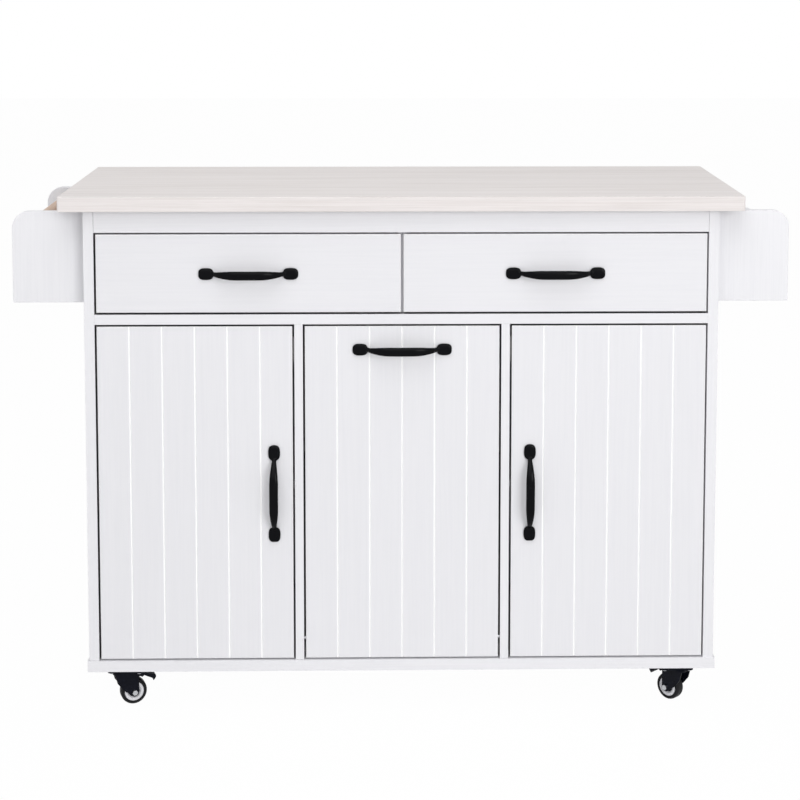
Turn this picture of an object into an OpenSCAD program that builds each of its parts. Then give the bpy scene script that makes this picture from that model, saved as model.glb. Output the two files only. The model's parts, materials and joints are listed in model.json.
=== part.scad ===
// Kitchen island on casters: two inset drawers over two cupboards and a tilt-out bin front,
// a towel rack and a spice rack on its sides, and a leaf that hangs down at the back.
// X runs to the right, Y from the front to the back, Z up. The origin is on the floor,
// under the middle of the whole piece.

/* [Worktop] */
// Length of the worktop, side to side
top_w = 1200; // [1150:5:1400]
// Depth of the fixed worktop, front to back
top_d = 460; // [440:5:560]
// Thickness of the worktop and of the leaf
top_t = 26; // [18:1:40]
// Radius of the worktop's corners, seen from above
top_corner_r = 3; // [1:0.5:12]
// Height of the worktop above the floor
total_h = 930; // [900:5:980]
// How far the worktop stands past each side panel
side_overhang = 41; // [30:1:70]
// How far the worktop stands over the fronts
front_overhang = 22; // [10:1:40]
// How far the worktop stands over the back panel
back_overhang = 24; // [22:1:40]

/* [Cabinet] */
// Thickness of a side panel
side_t = 18; // [15:1:22]
// Thickness of the base panel
base_t = 20; // [16:1:25]
// How far the base panel stands proud of the side panels
base_reveal = 3; // [0:0.5:6]
// How far the base panel stands proud of the fronts
base_lip = 2; // [0:0.5:5]
// Thickness of the partitions between the cupboards
partition_t = 15; // [12:1:18]
// Thickness of the deck under the drawers
deck_t = 18; // [12:1:20]
// Thickness of the divider between the drawers
divider_t = 16; // [12:1:18]
// Thickness of the back panel
back_t = 12; // [6:1:16]
// Height of the rails under the worktop
rail_h = 40; // [30:1:55]
// Thickness of the rails under the worktop
rail_t = 18; // [15:1:22]
// How far the front rail sits behind the side panels' edges
rail_recess = 1; // [0:0.5:4]
// Clear height of the drawer row
drawer_row_h = 145; // [130:1:160]
// Thickness of the adjustable shelves
shelf_t = 12; // [10:1:18]
// Height of the shelves' top face above the base panel
shelf_level = 322; // [200:1:420]
// Play at each end of a shelf
shelf_play = 0.5; // [0.2:0.1:1.5]
// Diameter of a shelf pin
shelf_pin_d = 5; // [4:0.5:6]
// How far a shelf pin goes into the panel, and how far it stands out
shelf_pin_l = 8; // [6:0.5:10]

/* [Fronts] */
// Thickness of the doors and drawer fronts
front_t = 15; // [14:0.5:18]
// Gap round each inset front
front_gap = 3; // [2:0.25:4]
// Gap between the two drawer fronts
drawer_gap = 5; // [3:0.5:7]
// Planks that the grooves divide a door into
plank_count = 6; // [3:1:9]
// Width of a groove at the face
groove_w = 3.2; // [1.5:0.1:5]
// Bevel round the face of each front
edge_ease = 1.2; // [0.5:0.1:2.5]

/* [Handles] */
// Overall length of a handle
handle_l = 175.5; // [165:0.5:200]
// Distance between a handle's screws
handle_pitch = 128; // [120:1:140]
// Length of the foot at each end
handle_foot_l = 27; // [22:0.5:30]
// Width of the foot
handle_foot_w = 21; // [16:0.5:26]
// Width of the bow at its middle
handle_bow_w = 16; // [12:0.5:20]
// Width of the bow where it leaves the foot
handle_neck_w = 7.4; // [6:0.2:11]
// Thickness of the bow at its middle
handle_bow_t = 8.5; // [6:0.5:11]
// How far the bow stands out from the front
handle_reach = 28; // [24:0.5:36]
// Diameter of a handle screw
handle_screw_d = 4; // [3.5:0.1:4.5]
// From a door's opening edge to its handle's middle line
door_handle_inset = 33.5; // [20:0.5:60]
// From the bin front's top edge to its handle's middle line
bin_handle_drop = 42; // [25:0.5:80]

/* [Racks] */
// How far a rack stands out from the side panel
rack_reach = 129; // [100:1:160]
// Height of a rack's ends
rack_h = 162.5; // [130:0.5:200]
// Gap between the worktop and the racks
rack_drop = 5.5; // [2:0.5:15]
// Thickness of a rack's ends
rack_t = 15; // [12:1:18]
// Radius of the ends' outer top corner
rack_corner_r = 30; // [16:1:50]
// How far the racks sit behind the fronts
rack_setback = 28; // [15:1:40]
// From the racks' back ends to the back of the cabinet
rack_back_gap = 31; // [5:1:120]
// Diameter of the towel rail
dowel_d = 22; // [14:1:28]
// Depth of the towel rail's seats
dowel_seat = 8; // [4:0.5:10]
// Thickness of the spice rack's floor
spice_floor_t = 15; // [10:1:18]
// Height of the spice rack's guard rail
guard_h = 54; // [30:1:60]
// Thickness of the guard rail
guard_t = 12; // [8:1:16]
// From the ends' top edge down to the guard rail
guard_drop = 44.5; // [32:0.5:50]
// Radius of the corner of the spice rack's lower back end
spice_back_r = 3; // [1:0.5:12]

/* [Drop leaf] */
// Depth of the leaf
leaf_d = 290; // [260:1:320]
// Gap between the raised leaf and the worktop
leaf_gap = 1.5; // [1:0.1:3]
// From the worktop's underside down to the leaf's hinge line
hinge_drop = 4; // [3.8:0.1:6]
// From the middle to the outer leaf hinges
leaf_hinge_x = 480; // [430:5:520]
// Width of a leaf hinge
leaf_hinge_w = 60; // [40:1:80]
// Depth of a leaf hinge's long plate, under the leaf
leaf_hinge_plate = 30; // [24:1:34]
// Thickness of a leaf hinge's plates
leaf_hinge_t = 1.6; // [1.2:0.1:2]
// Diameter of a leaf hinge's knuckle
knuckle_d = 7; // [6:0.1:7.2]
// Diameter of a leaf hinge's pin
knuckle_pin_d = 3.5; // [2.5:0.1:4]
// From the middle to each brace
brace_x = 380; // [250:5:420]
// From the leaf's hinge line down to a brace's pivot
brace_drop = 100; // [92:1:104]
// How far a brace's pivot stands off the back panel
brace_stand = 14; // [12:0.5:16]
// Angle that a brace turns through as the leaf rises
brace_turn = 126; // [120:1:130]
// Width of a brace
brace_w = 20; // [14:1:24]
// Thickness of a brace
brace_t = 8; // [6:0.5:9]
// Diameter of a brace's pivot pin
brace_pin_d = 6; // [5:0.5:7]

/* [Drawers] */
// Gap between a closed drawer's box and the back panel
box_back_gap = 37; // [32:1:120]
// Height of a drawer box
box_h = 108; // [80:1:114]
// Thickness of a drawer box's boards
box_board_t = 12; // [9:0.5:15]
// Thickness of a drawer's bottom
box_bottom_t = 5; // [3:0.5:8]
// From a box's lower edge up to its bottom
box_bottom_up = 8; // [5:0.5:15]
// Gap under a drawer box
box_clearance = 12; // [8:0.5:16]
// Width taken up by one drawer runner
runner_t = 12.7; // [12:0.1:14]
// Height of a drawer runner
runner_h = 35; // [27:1:46]
// Sheet thickness of a drawer runner
runner_sheet = 1.2; // [1:0.1:1.6]

/* [Tilt bin] */
// From the bin front's lower edge up to its pivot
bin_pivot_up = 35; // [28:0.5:45]
// Diameter of a pivot pin
bin_pin_d = 6; // [5:0.5:8]
// How far a pivot pin goes into the bin front
bin_pin_in = 17; // [12:0.5:25]
// How far a pivot pin goes into the partition
bin_pin_seat = 11; // [6:0.5:11]
// Gap between the closed bin's holder and the back panel
bin_back_gap = 144; // [120:1:190]
// Height of the bin holder's sides at the back
bin_side_h = 308; // [260:1:330]
// How much higher the bin holder's sides are at the front
bin_side_rise = 46; // [0:1:70]
// Thickness of the bin holder's boards
bin_board_t = 12; // [9:0.5:15]
// Gap between the bin holder and the partitions
bin_play = 4; // [3:0.5:6]
// Height of the bin holder's back board
bin_back_h = 236; // [180:1:250]
// Angle that the bin front tilts out by
bin_tilt = 32; // [26:1:34]

/* [Door hinges] */
// Diameter of a hinge cup
cup_d = 35; // [26:1:40]
// Depth of a hinge cup
cup_depth = 11; // [10.5:0.1:11.5]
// From a door's hinge edge to the cup's centre
cup_inset = 22.5; // [20:0.5:26]
// From a door's ends to its hinges
cup_from_end = 100; // [60:1:150]
// From a door's hinge edge and face in to its turning axis
door_axis_in = 4; // [3:0.25:5]

/* [Casters] */
// Height of a caster
caster_h = 72; // [70:0.5:80]
// Diameter of a wheel
wheel_d = 47.5; // [46:0.5:52]
// Width of a wheel
wheel_w = 20; // [16:0.5:22]
// From the swivel axis to the wheel's axle
caster_trail = 10.5; // [10:0.5:18]
// From the body's side to a caster's swivel axis
caster_in_x = 62.5; // [45:0.5:90]
// From the front or the back to a caster's swivel axis
caster_in_y = 33; // [32:1:60]
// Width of a caster's plate
plate_w = 63; // [60:1:75]
// Depth of a caster's plate
plate_d = 57; // [56:1:64]
// Thickness of a caster's plate
plate_t = 5.5; // [2:0.1:6]
// Diameter of a wheel's axle
axle_d = 6; // [5:0.5:8]
// Diameter of a caster's kingpin
kingpin_d = 8; // [6:0.5:10]

/* [Hidden] */
$fn = 48;
LEFT = -1;
RIGHT = 1;
// Radial play of a pin in its bore
pin_play = 0.05;
// Play of a part that only has to go in freely
free_play = 0.1;
// Play between faces that pass or nearly touch
face_play = 0.3;
// Overlap of cutting bodies past the face they cut
eps = 0.5;

// Heights
base_z = caster_h;
floor_z = base_z + base_t;
top_z = total_h - top_t;
rail_z = top_z - rail_h;
deck_z = rail_z - drawer_row_h;
under_deck_z = deck_z - deck_t;

// Places along Y
top_back_from_front = top_d + leaf_gap / 2;
leaf_back_from_front = top_back_from_front + hinge_drop + top_t;
// The whole piece reaches from the handles' bows to the hanging leaf's face
top_front_y = (handle_reach - front_overhang - leaf_back_from_front) / 2;
face_y = top_front_y + front_overhang;
front_back_y = face_y + front_t;
body_back_y = top_front_y + top_d - back_overhang;
inner_back_y = body_back_y - back_t;
hinge_y = top_front_y + top_back_from_front;
hinge_z = top_z - hinge_drop;
body_d = body_back_y - face_y;
inner_d = inner_back_y - front_back_y;
box_d = inner_d - box_back_gap;
bin_d = inner_d - bin_back_gap;

// Places along X
// Width over the two side panels
body_w = top_w - 2 * side_overhang;
inner_x = body_w / 2 - side_t;
door_w = (2 * inner_x - 2 * partition_t - 6 * front_gap) / 3;
partition_x = door_w / 2 + front_gap;
door_in_x = partition_x + partition_t + front_gap;
door_h = under_deck_z - floor_z - 2 * front_gap;
door_z = floor_z + front_gap;
drawer_front_w = inner_x - front_gap - drawer_gap / 2;
drawer_front_h = drawer_row_h - 2 * front_gap;
drawer_mid_x = drawer_gap / 2 + drawer_front_w / 2;
drawer_mid_z = deck_z + drawer_row_h / 2;
white = [0.93, 0.93, 0.93];
whitewash = [0.87, 0.84, 0.81];
natural_wood = [0.82, 0.66, 0.50];
black = [0.08, 0.08, 0.08];
steel = [0.75, 0.76, 0.78];

// ---------------------------------------------------------------- helpers

// A board between two corners
module board(x, y, z) {
    translate([x[0], y[0], z[0]]) cube([x[1] - x[0], y[1] - y[0], z[1] - z[0]]);
}

// Rectangle with true round corners, centred
module round_rect(w, h, r) {
    square([w - 2 * r, h], center = true);
    square([w, h - 2 * r], center = true);
    for (x = [-1, 1], y = [-1, 1])
        translate([x * (w / 2 - r), y * (h / 2 - r)]) circle(r);
}

module both_sides() {
    for (s = [LEFT, RIGHT]) scale_x(s) children();
}

// The left-hand copy is the right-hand one in a mirror
module scale_x(side) {
    if (side == LEFT) mirror([1, 0, 0]) children();
    else children();
}

module along_x(d, l) {
    rotate([0, 90, 0]) cylinder(d = d, h = l);
}

module along_y(d, l) {
    rotate([-90, 0, 0]) cylinder(d = d, h = l);
}

// Slab w by h, standing in XZ with its face at Y = 0 and a bevel round that face
module eased_slab(w, h, t, c) {
    bevel = c * sqrt(2);
    difference() {
        translate([-w / 2, 0, -h / 2]) cube([w, t, h]);
        for (s = [-1, 1]) {
            translate([0, 0, s * h / 2]) rotate([45, 0, 0]) cube([w + 2, bevel, bevel], center = true);
            translate([s * w / 2, 0, 0]) rotate([0, 0, 45]) cube([bevel, bevel, h + 2], center = true);
        }
    }
}

// ---------------------------------------------------------------- worktop and carcass

module worktop() {
    color(whitewash)
    translate([0, top_front_y + top_d / 2, top_z])
        linear_extrude(top_t) round_rect(top_w, top_d, top_corner_r);
}

shelf_z = floor_z + shelf_level - shelf_t;
shelf_pin_z = shelf_z - shelf_pin_d / 2;
shelf_front_y = front_back_y + front_gap;
shelf_pin_from_edge = 40;
shelf_pins_y = [shelf_front_y + shelf_pin_from_edge, inner_back_y - shelf_pin_from_edge];
pivot_y = face_y + front_t / 2;
pivot_z = door_z + bin_pivot_up;
dowel_x = body_w / 2 + rack_reach - rack_corner_r;
rack_top_z = top_z - rack_drop;
dowel_z = rack_top_z - rack_corner_r;

module side_panel(side) {
    color(white)
    scale_x(side) difference() {
        board([inner_x, body_w / 2], [face_y, body_back_y], [floor_z, top_z]);
        for (y = shelf_pins_y)
            translate([inner_x - eps, y, shelf_pin_z]) along_x(shelf_pin_d, shelf_pin_l + eps);
    }
}

module base_panel() {
    color(white)
    difference() {
        board([-body_w / 2 - base_reveal, body_w / 2 + base_reveal],
              [face_y - base_lip, body_back_y + base_lip], [base_z, floor_z]);
        at_plate_screws() translate([0, 0, base_z - eps])
            cylinder(d = plate_screw_d, h = plate_screw_in + eps);
    }
}

module back_panel() {
    color(white)
    board([-inner_x, inner_x], [inner_back_y, body_back_y], [floor_z, top_z]);
}

module partitions() {
    color(white)
    both_sides() difference() {
        board([partition_x, partition_x + partition_t], [face_y, inner_back_y],
              [floor_z, under_deck_z]);
        translate([partition_x - eps, pivot_y, pivot_z]) along_x(bin_pin_d, bin_pin_seat + eps);
        for (y = shelf_pins_y)
            translate([partition_x + partition_t - shelf_pin_l, y, shelf_pin_z])
                along_x(shelf_pin_d, shelf_pin_l + eps);
    }
}

module drawer_deck() {
    color(white)
    board([-inner_x, inner_x], [face_y, inner_back_y], [under_deck_z, deck_z]);
}

rail_front_y = face_y + rail_recess;

// The divider comes up close behind the drawer fronts and is cut out round the front rail
module drawer_divider() {
    color(white)
    translate([-divider_t / 2, 0, 0]) rotate([90, 0, 90]) linear_extrude(divider_t) polygon([
        [front_back_y + face_play, deck_z], [inner_back_y - rail_t, deck_z],
        [inner_back_y - rail_t, top_z], [rail_front_y + rail_t, top_z],
        [rail_front_y + rail_t, rail_z], [front_back_y + face_play, rail_z]]);
}

module top_rails() {
    color(white) {
        board([-inner_x, inner_x], [rail_front_y, rail_front_y + rail_t], [rail_z, top_z]);
        board([-inner_x, inner_x], [inner_back_y - rail_t, inner_back_y], [rail_z, top_z]);
    }
}

module shelves() {
    color(white)
    both_sides()
        board([partition_x + partition_t + shelf_play, inner_x - shelf_play],
              [shelf_front_y, inner_back_y - shelf_play], [shelf_z, shelf_z + shelf_t]);
}

module shelf_pins() {
    color(steel)
    both_sides() for (y = shelf_pins_y) {
        translate([partition_x + partition_t - shelf_pin_l, y, shelf_pin_z])
            along_x(shelf_pin_d, 2 * shelf_pin_l);
        translate([inner_x - shelf_pin_l, y, shelf_pin_z]) along_x(shelf_pin_d, 2 * shelf_pin_l);
    }
}

// ---------------------------------------------------------------- side racks

// Outline of a rack's end: square to the cabinet, one round corner outside at the top
module rack_end_outline(h, r) {
    square([rack_reach - r, h]);
    square([rack_reach, h - r]);
    translate([rack_reach - r, h - r]) circle(r);
}

module rack_end(y, h = rack_h, r = rack_corner_r) {
    translate([body_w / 2, y + rack_t, rack_top_z - rack_h])
        rotate([90, 0, 0]) linear_extrude(rack_t) rack_end_outline(h, r);
}

rack_front_y = face_y + rack_setback;
rack_l = body_d - rack_setback - rack_back_gap;
rack_back_y = rack_front_y + rack_l - rack_t;

module towel_rail_body(extra = 0) {
    translate([dowel_x, rack_front_y + rack_t - dowel_seat, dowel_z])
        along_y(dowel_d + 2 * extra, rack_l - 2 * rack_t + 2 * dowel_seat);
}

module towel_rack_ends() {
    color(white)
    scale_x(LEFT) difference() {
        union() {
            rack_end(rack_front_y);
            rack_end(rack_back_y);
        }
        towel_rail_body(free_play);
    }
}

module towel_rail() {
    color(natural_wood) scale_x(LEFT) towel_rail_body();
}

// The back end stands only as high as the guard rail
module spice_rack_ends() {
    color(white) {
        rack_end(rack_front_y);
        rack_end(rack_back_y, rack_h - guard_drop, spice_back_r);
    }
}

module spice_rack_floor() {
    color(white)
    board([body_w / 2, body_w / 2 + rack_reach], [rack_front_y + rack_t, rack_back_y],
          [rack_top_z - rack_h, rack_top_z - rack_h + spice_floor_t]);
}

module spice_rack_guard() {
    outer_x = body_w / 2 + rack_reach;
    guard_top_z = rack_top_z - guard_drop;
    color(white)
    board([outer_x - guard_t, outer_x], [rack_front_y + rack_t, rack_back_y],
          [guard_top_z - guard_h, guard_top_z]);
}

// ---------------------------------------------------------------- drop leaf

knuckle_count = 5;
knuckle_l = leaf_hinge_w / knuckle_count;
leaf_hinges_x = [-leaf_hinge_x, 0, leaf_hinge_x];

// Depth of the short plate, which ends just behind the back panel
short_plate = back_overhang + leaf_gap / 2 - face_play;

// One plate of a leaf hinge, lying under the wood towards +Y of the hinge line, with every
// second knuckle from first on
module hinge_plate(first, depth) {
    plate_z = hinge_drop - leaf_hinge_t;
    clear_y = knuckle_d / 2 + face_play;
    translate([-leaf_hinge_w / 2, clear_y, plate_z])
        cube([leaf_hinge_w, depth - clear_y, leaf_hinge_t]);
    for (i = [first : 2 : knuckle_count - 1])
        translate([-leaf_hinge_w / 2 + i * knuckle_l + face_play / 2, 0, 0])
            difference() {
                union() {
                    along_x(knuckle_d, knuckle_l - face_play);
                    translate([0, 0, plate_z - eps])
                        cube([knuckle_l - face_play, clear_y + eps, leaf_hinge_t + eps]);
                }
                translate([-eps, 0, 0])
                    along_x(knuckle_pin_d + 2 * pin_play, knuckle_l - face_play + 2 * eps);
            }
}

module leaf_hinge_plates() {
    color(steel)
    for (x = leaf_hinges_x) translate([x, hinge_y, hinge_z]) {
        mirror([0, 1, 0]) hinge_plate(0, short_plate);
        translate([-leaf_hinge_w / 2, 0, 0]) along_x(knuckle_pin_d, leaf_hinge_w);
    }
}

// Turns what is drawn for the raised leaf down to where it hangs
module hang_down() {
    translate([0, hinge_y, hinge_z]) rotate([-90, 0, 0]) children();
}

module leaf_hinge_flaps() {
    color(steel)
    hang_down() for (x = leaf_hinges_x) translate([x, 0, 0]) hinge_plate(1, leaf_hinge_plate);
}

module drop_leaf() {
    color(whitewash)
    hang_down()
        translate([0, leaf_gap / 2 + leaf_d / 2, hinge_drop])
            linear_extrude(top_t) round_rect(top_w, leaf_d, top_corner_r);
}

// The brace turns on a pivot below the leaf's hinge line and its round tip comes up under
// the leaf. Its length follows from the height that the tip has to gain.
brace_tip_d = 12;
brace_y = body_back_y + brace_stand;
brace_z = hinge_z - brace_drop;
rest_t = 2.5;
tip_rise = brace_drop + hinge_drop - rest_t - brace_tip_d / 2 - face_play;
brace_l = tip_rise / -cos(brace_turn);
// Where the tip meets the raised leaf, from the hinge line
tip_out = brace_l * sin(brace_turn) + brace_y - hinge_y;
ear_t = 3;
wall_plate_t = 3;
wall_plate_h = 70;
ear_d = 16;

module brace(side) {
    color(black)
    scale_x(side) translate([brace_x, brace_y, brace_z]) difference() {
        union() {
            translate([-brace_w / 2, 0, 0]) along_x(brace_tip_d, brace_w);
            translate([-brace_w / 2, -brace_t / 2, -brace_l]) cube([brace_w, brace_t, brace_l]);
            translate([-brace_w / 2, 0, -brace_l]) along_x(brace_tip_d, brace_w);
        }
        translate([-brace_w / 2 - eps, 0, 0])
            along_x(brace_pin_d + 2 * pin_play, brace_w + 2 * eps);
        // lightening slot between the two ends
        translate([0, 0, -brace_l / 2]) rotate([90, 0, 0]) translate([0, 0, -brace_t])
            linear_extrude(2 * brace_t) round_rect(brace_w / 2, brace_l / 2, brace_w / 4 - 0.01);
    }
}

// Wall plate with two ears and the pivot pin riveted into them
module brace_wall_plates() {
    ear_x = brace_w / 2 + face_play;
    color(black)
    both_sides() translate([brace_x, body_back_y, brace_z]) {
        translate([0, wall_plate_t, 0]) rotate([90, 0, 0])
            linear_extrude(wall_plate_t)
                round_rect(brace_w + 2 * ear_t + 16, wall_plate_h, 5);
        for (x = [-ear_x - ear_t, ear_x]) translate([x, 0, 0]) {
            translate([0, brace_stand, 0]) along_x(ear_d, ear_t);
            translate([0, wall_plate_t - eps, -ear_d / 2])
                cube([ear_t, brace_stand - wall_plate_t + eps, ear_d]);
        }
        translate([-ear_x - ear_t, brace_stand, 0]) along_x(brace_pin_d, 2 * (ear_x + ear_t));
    }
}

// Steel rest under the leaf for a brace's tip, with a stop lip on its inner side
module brace_rests() {
    rest_l = 60;
    lip_h = brace_tip_d / 2 - 1;
    lip_y = tip_out - brace_tip_d / 2 - face_play - rest_t;
    color(black)
    hang_down() both_sides() translate([brace_x, 0, hinge_drop - rest_t]) {
        translate([0, lip_y + rest_l / 2, 0]) linear_extrude(rest_t) round_rect(brace_w + 6, rest_l, 1);
        translate([-brace_w / 2, lip_y, -lip_h]) cube([brace_w, rest_t, lip_h + eps]);
    }
}

// ---------------------------------------------------------------- handles

// A handle lies along X on the plane Z = 0 and is swept from end to end. At each station it
// has a half width, a lower and an upper height.
foot_in = handle_l / 2 - handle_foot_l;
foot_round = 6;
foot_h = 5;
foot_top_h = 9.5;
// Near its neck the bow widens into the foot over this length, and its underside meets the
// foot a little before the foot's own start
neck_run = 9;
neck_lead = 3;
// The bow keeps its full width over this share of its half, measured from the neck's end
bow_swell = 1.25;
function smooth(t) = let (u = min(1, max(0, t))) u * u * (3 - 2 * u);
function foot_half_w(x) =
    let (d = max(0, abs(x) - handle_l / 2 + foot_round))
    handle_foot_w / 2 - foot_round + sqrt(max(0, foot_round * foot_round - d * d));
function bow_half_w(x) =
    handle_neck_w / 2 + (handle_bow_w - handle_neck_w) / 2 * smooth(bow_swell - abs(x) / foot_in);
function half_w(x) =
    let (k = smooth((abs(x) - foot_in + neck_lead) / neck_run))
    bow_half_w(x) * (1 - k) + foot_half_w(x) * k;
bow_power = 3.4;
function bow_top(x) = handle_reach - (handle_reach - foot_top_h) * pow(abs(x) / foot_in, bow_power);
function foot_top(x) =
    let (d = (abs(x) - foot_in) / handle_foot_l)
    foot_top_h - (foot_top_h - foot_h) * d - foot_h * 0.6 * pow(max(0, d), 6);
function top_of(x) = abs(x) < foot_in ? bow_top(x) : foot_top(x);
function low_of(x) =
    abs(x) >= foot_in - neck_lead ? 0
    : (handle_reach - handle_bow_t) * (1 - pow(abs(x) / (foot_in - neck_lead), bow_power));
// Section of the bar as [share of the half width, share of the height]
section_shares = [[-0.72, 0], [0.72, 0], [0.96, 0.18], [1, 0.5], [0.84, 0.82], [0.5, 1],
                  [-0.5, 1], [-0.84, 0.82], [-1, 0.5], [-0.96, 0.18]];
// Stations as shares of the foot's length, from the handle's end, and of the bow's half
foot_shares = [0, 0.022, 0.074, 0.148, 0.259, 0.444, 0.63, 0.778, 0.889, 1];
bow_shares = [0.93, 0.86, 0.78, 0.68, 0.57, 0.45, 0.32, 0.18, 0.06];
half_stations = concat(
    [for (k = foot_shares) handle_l / 2 - k * handle_foot_l],
    [for (k = bow_shares) k * foot_in]);
stations = concat(
    [for (x = half_stations) -x],
    [for (i = [len(half_stations) - 1 : -1 : 0]) half_stations[i]]);

module handle_body() {
    n = len(section_shares);
    rings = len(stations);
    points = [for (x = stations, p = section_shares)
        [x, p[0] * half_w(x), low_of(x) + p[1] * (top_of(x) - low_of(x))]];
    sides = [for (r = [0 : rings - 2], i = [0 : n - 1], t = [0, 1])
        let (a = r * n + i, b = r * n + (i + 1) % n)
        t == 0 ? [a, b + n, b] : [a, a + n, b + n]];
    caps = [for (i = [1 : n - 2], t = [0, 1])
        t == 0 ? [0, i, i + 1] : [(rings - 1) * n, (rings - 1) * n + i + 1, (rings - 1) * n + i]];
    polyhedron(points, concat(sides, caps), convexity = 6);
}

screw_head_d = 8;
screw_head_h = 2.2;
screw_in_handle = 7;

// A handle with its two screws, which come through a front of thickness front_t
module handle() {
    color(black) difference() {
        handle_body();
        for (s = [-1, 1]) translate([s * handle_pitch / 2, 0, -eps])
            cylinder(d = handle_screw_d + 4 * free_play, h = screw_in_handle + 2 * eps);
    }
    color(steel) for (s = [-1, 1]) translate([s * handle_pitch / 2, 0, 0]) {
        translate([0, 0, -front_t]) cylinder(d = handle_screw_d, h = front_t + screw_in_handle);
        translate([0, 0, -front_t - screw_head_h]) cylinder(d = screw_head_d, h = screw_head_h);
    }
}

// Places a handle on the fronts' face, level or upright
module place_handle(x, z, upright = false) {
    translate([x, face_y, z]) rotate([90, 0, 0]) rotate([0, 0, upright ? 90 : 0]) children();
}

module handle_holes() {
    for (s = [-1, 1]) translate([s * handle_pitch / 2, 0, -front_t - eps])
        cylinder(d = handle_screw_d + 2 * free_play, h = front_t + 2 * eps);
}

// ---------------------------------------------------------------- drawers

// Height of a runner above the drawer box's lower edge
runner_up = 36;
runner_from_front = 4;
box_out_x = inner_x - runner_t;
box_in_x = divider_t / 2 + runner_t;
box_z = deck_z + box_clearance;
runner_mid_z = box_z + runner_up + runner_h / 2;
runner_l = box_d - runner_from_front;
runner_y = front_back_y + runner_from_front;

module drawer_front(side) {
    color(white)
    difference() {
        translate([side * drawer_mid_x, face_y, drawer_mid_z])
            eased_slab(drawer_front_w, drawer_front_h, front_t, edge_ease);
        place_handle(side * drawer_mid_x, drawer_mid_z) handle_holes();
    }
}

runner_lip = 3.5;
lip_play = 0.4;

// C profile of a runner: web at X = 0, lips turned in at X = depth
module runner_profile(h, depth, lip) {
    translate([0, -h / 2]) square([runner_sheet, h]);
    for (s = [-1, 1]) {
        translate([0, s > 0 ? h / 2 - runner_sheet : -h / 2]) square([depth, runner_sheet]);
        translate([depth - runner_sheet, s > 0 ? h / 2 - lip : -h / 2]) square([runner_sheet, lip]);
    }
}

module runner(h, depth, lip) {
    rotate([90, 0, 0]) translate([0, 0, -runner_l])
        linear_extrude(runner_l) runner_profile(h, depth, lip);
}

runner_nest = runner_sheet + 0.5;
channel_depth = runner_t - runner_nest;
slide_h = runner_h - 2 * runner_lip - 2 * lip_play;

// The runner's half on the cabinet: one on each side panel and on each face of the divider
module drawer_runner_channels() {
    color(steel)
    both_sides() {
        translate([inner_x, runner_y, runner_mid_z])
            mirror([1, 0, 0]) runner(runner_h, channel_depth, runner_lip);
        translate([divider_t / 2, runner_y, runner_mid_z])
            runner(runner_h, channel_depth, runner_lip);
    }
}

// The runner's half on a drawer, which passes between the channel's lips
module drawer_slides(side) {
    slide_depth = runner_t - 2 * runner_nest;
    color(steel) scale_x(side) {
        translate([box_out_x, runner_y, runner_mid_z]) runner(slide_h, slide_depth, runner_sheet);
        translate([box_in_x, runner_y, runner_mid_z])
            mirror([1, 0, 0]) runner(slide_h, slide_depth, runner_sheet);
    }
}

bottom_groove = 6;

module drawer_bottom(play = 0) {
    board([box_in_x + box_board_t - bottom_groove - play, box_out_x - box_board_t + bottom_groove + play],
          [front_back_y, front_back_y + box_d - box_board_t + bottom_groove + play],
          [box_z + box_bottom_up - play, box_z + box_bottom_up + box_bottom_t + play]);
}

// Drawer box: two sides and a back, and the bottom loose in their groove
module drawer_box(side) {
    box_y = [front_back_y, front_back_y + box_d];
    box_zs = [box_z, box_z + box_h];
    color(natural_wood) scale_x(side) {
        difference() {
            union() {
                board([box_in_x, box_in_x + box_board_t], box_y, box_zs);
                board([box_out_x - box_board_t, box_out_x], box_y, box_zs);
                board([box_in_x + box_board_t, box_out_x - box_board_t],
                      [box_y[1] - box_board_t, box_y[1]], box_zs);
            }
            drawer_bottom(free_play);
        }
        drawer_bottom();
    }
}

module drawer_handle(side) {
    place_handle(side * drawer_mid_x, drawer_mid_z) handle();
}

// ---------------------------------------------------------------- doors

door_mid_z = door_z + door_h / 2;
hinge_levels = [door_z + cup_from_end, door_z + door_h - cup_from_end];
door_edge_x = inner_x - front_gap;
cup_x = door_edge_x - cup_inset;
door_axis_x = door_edge_x - door_axis_in;
door_axis_y = face_y + door_axis_in;
door_handle_x = door_in_x + door_handle_inset;
strike_t = 1;
catch_w = 14;
catch_d = 16;
catch_h = 44;
catch_drop = 70;
catch_z = under_deck_z - catch_drop;

// Grooved slab of a door or of the bin front, centred on X
module planked_front(h) {
    groove_side = groove_w / sqrt(2);
    difference() {
        eased_slab(door_w, h, front_t, edge_ease);
        for (i = [1 : plank_count - 1])
            translate([-door_w / 2 + i * door_w / plank_count, 0, 0])
                rotate([0, 0, 45]) cube([groove_side, groove_side, h + 2], center = true);
    }
}

module door(side) {
    color(white)
    scale_x(side) difference() {
        translate([door_in_x + door_w / 2, face_y, door_mid_z]) planked_front(door_h);
        for (z = hinge_levels)
            translate([cup_x, front_back_y - cup_depth - face_play, z])
                along_y(cup_d + 2 * free_play, cup_depth + face_play + eps);
        place_handle(door_handle_x, door_mid_z, upright = true) handle_holes();
    }
}

cup_wall = 1.5;
cup_wing_w = 20;
cup_wing_h = 50;
cup_wing_t = 1.5;
arm_h = 14;
arm_plate_t = 2;
arm_plate_from_front = 20;
arm_plate_l = 38;

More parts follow.
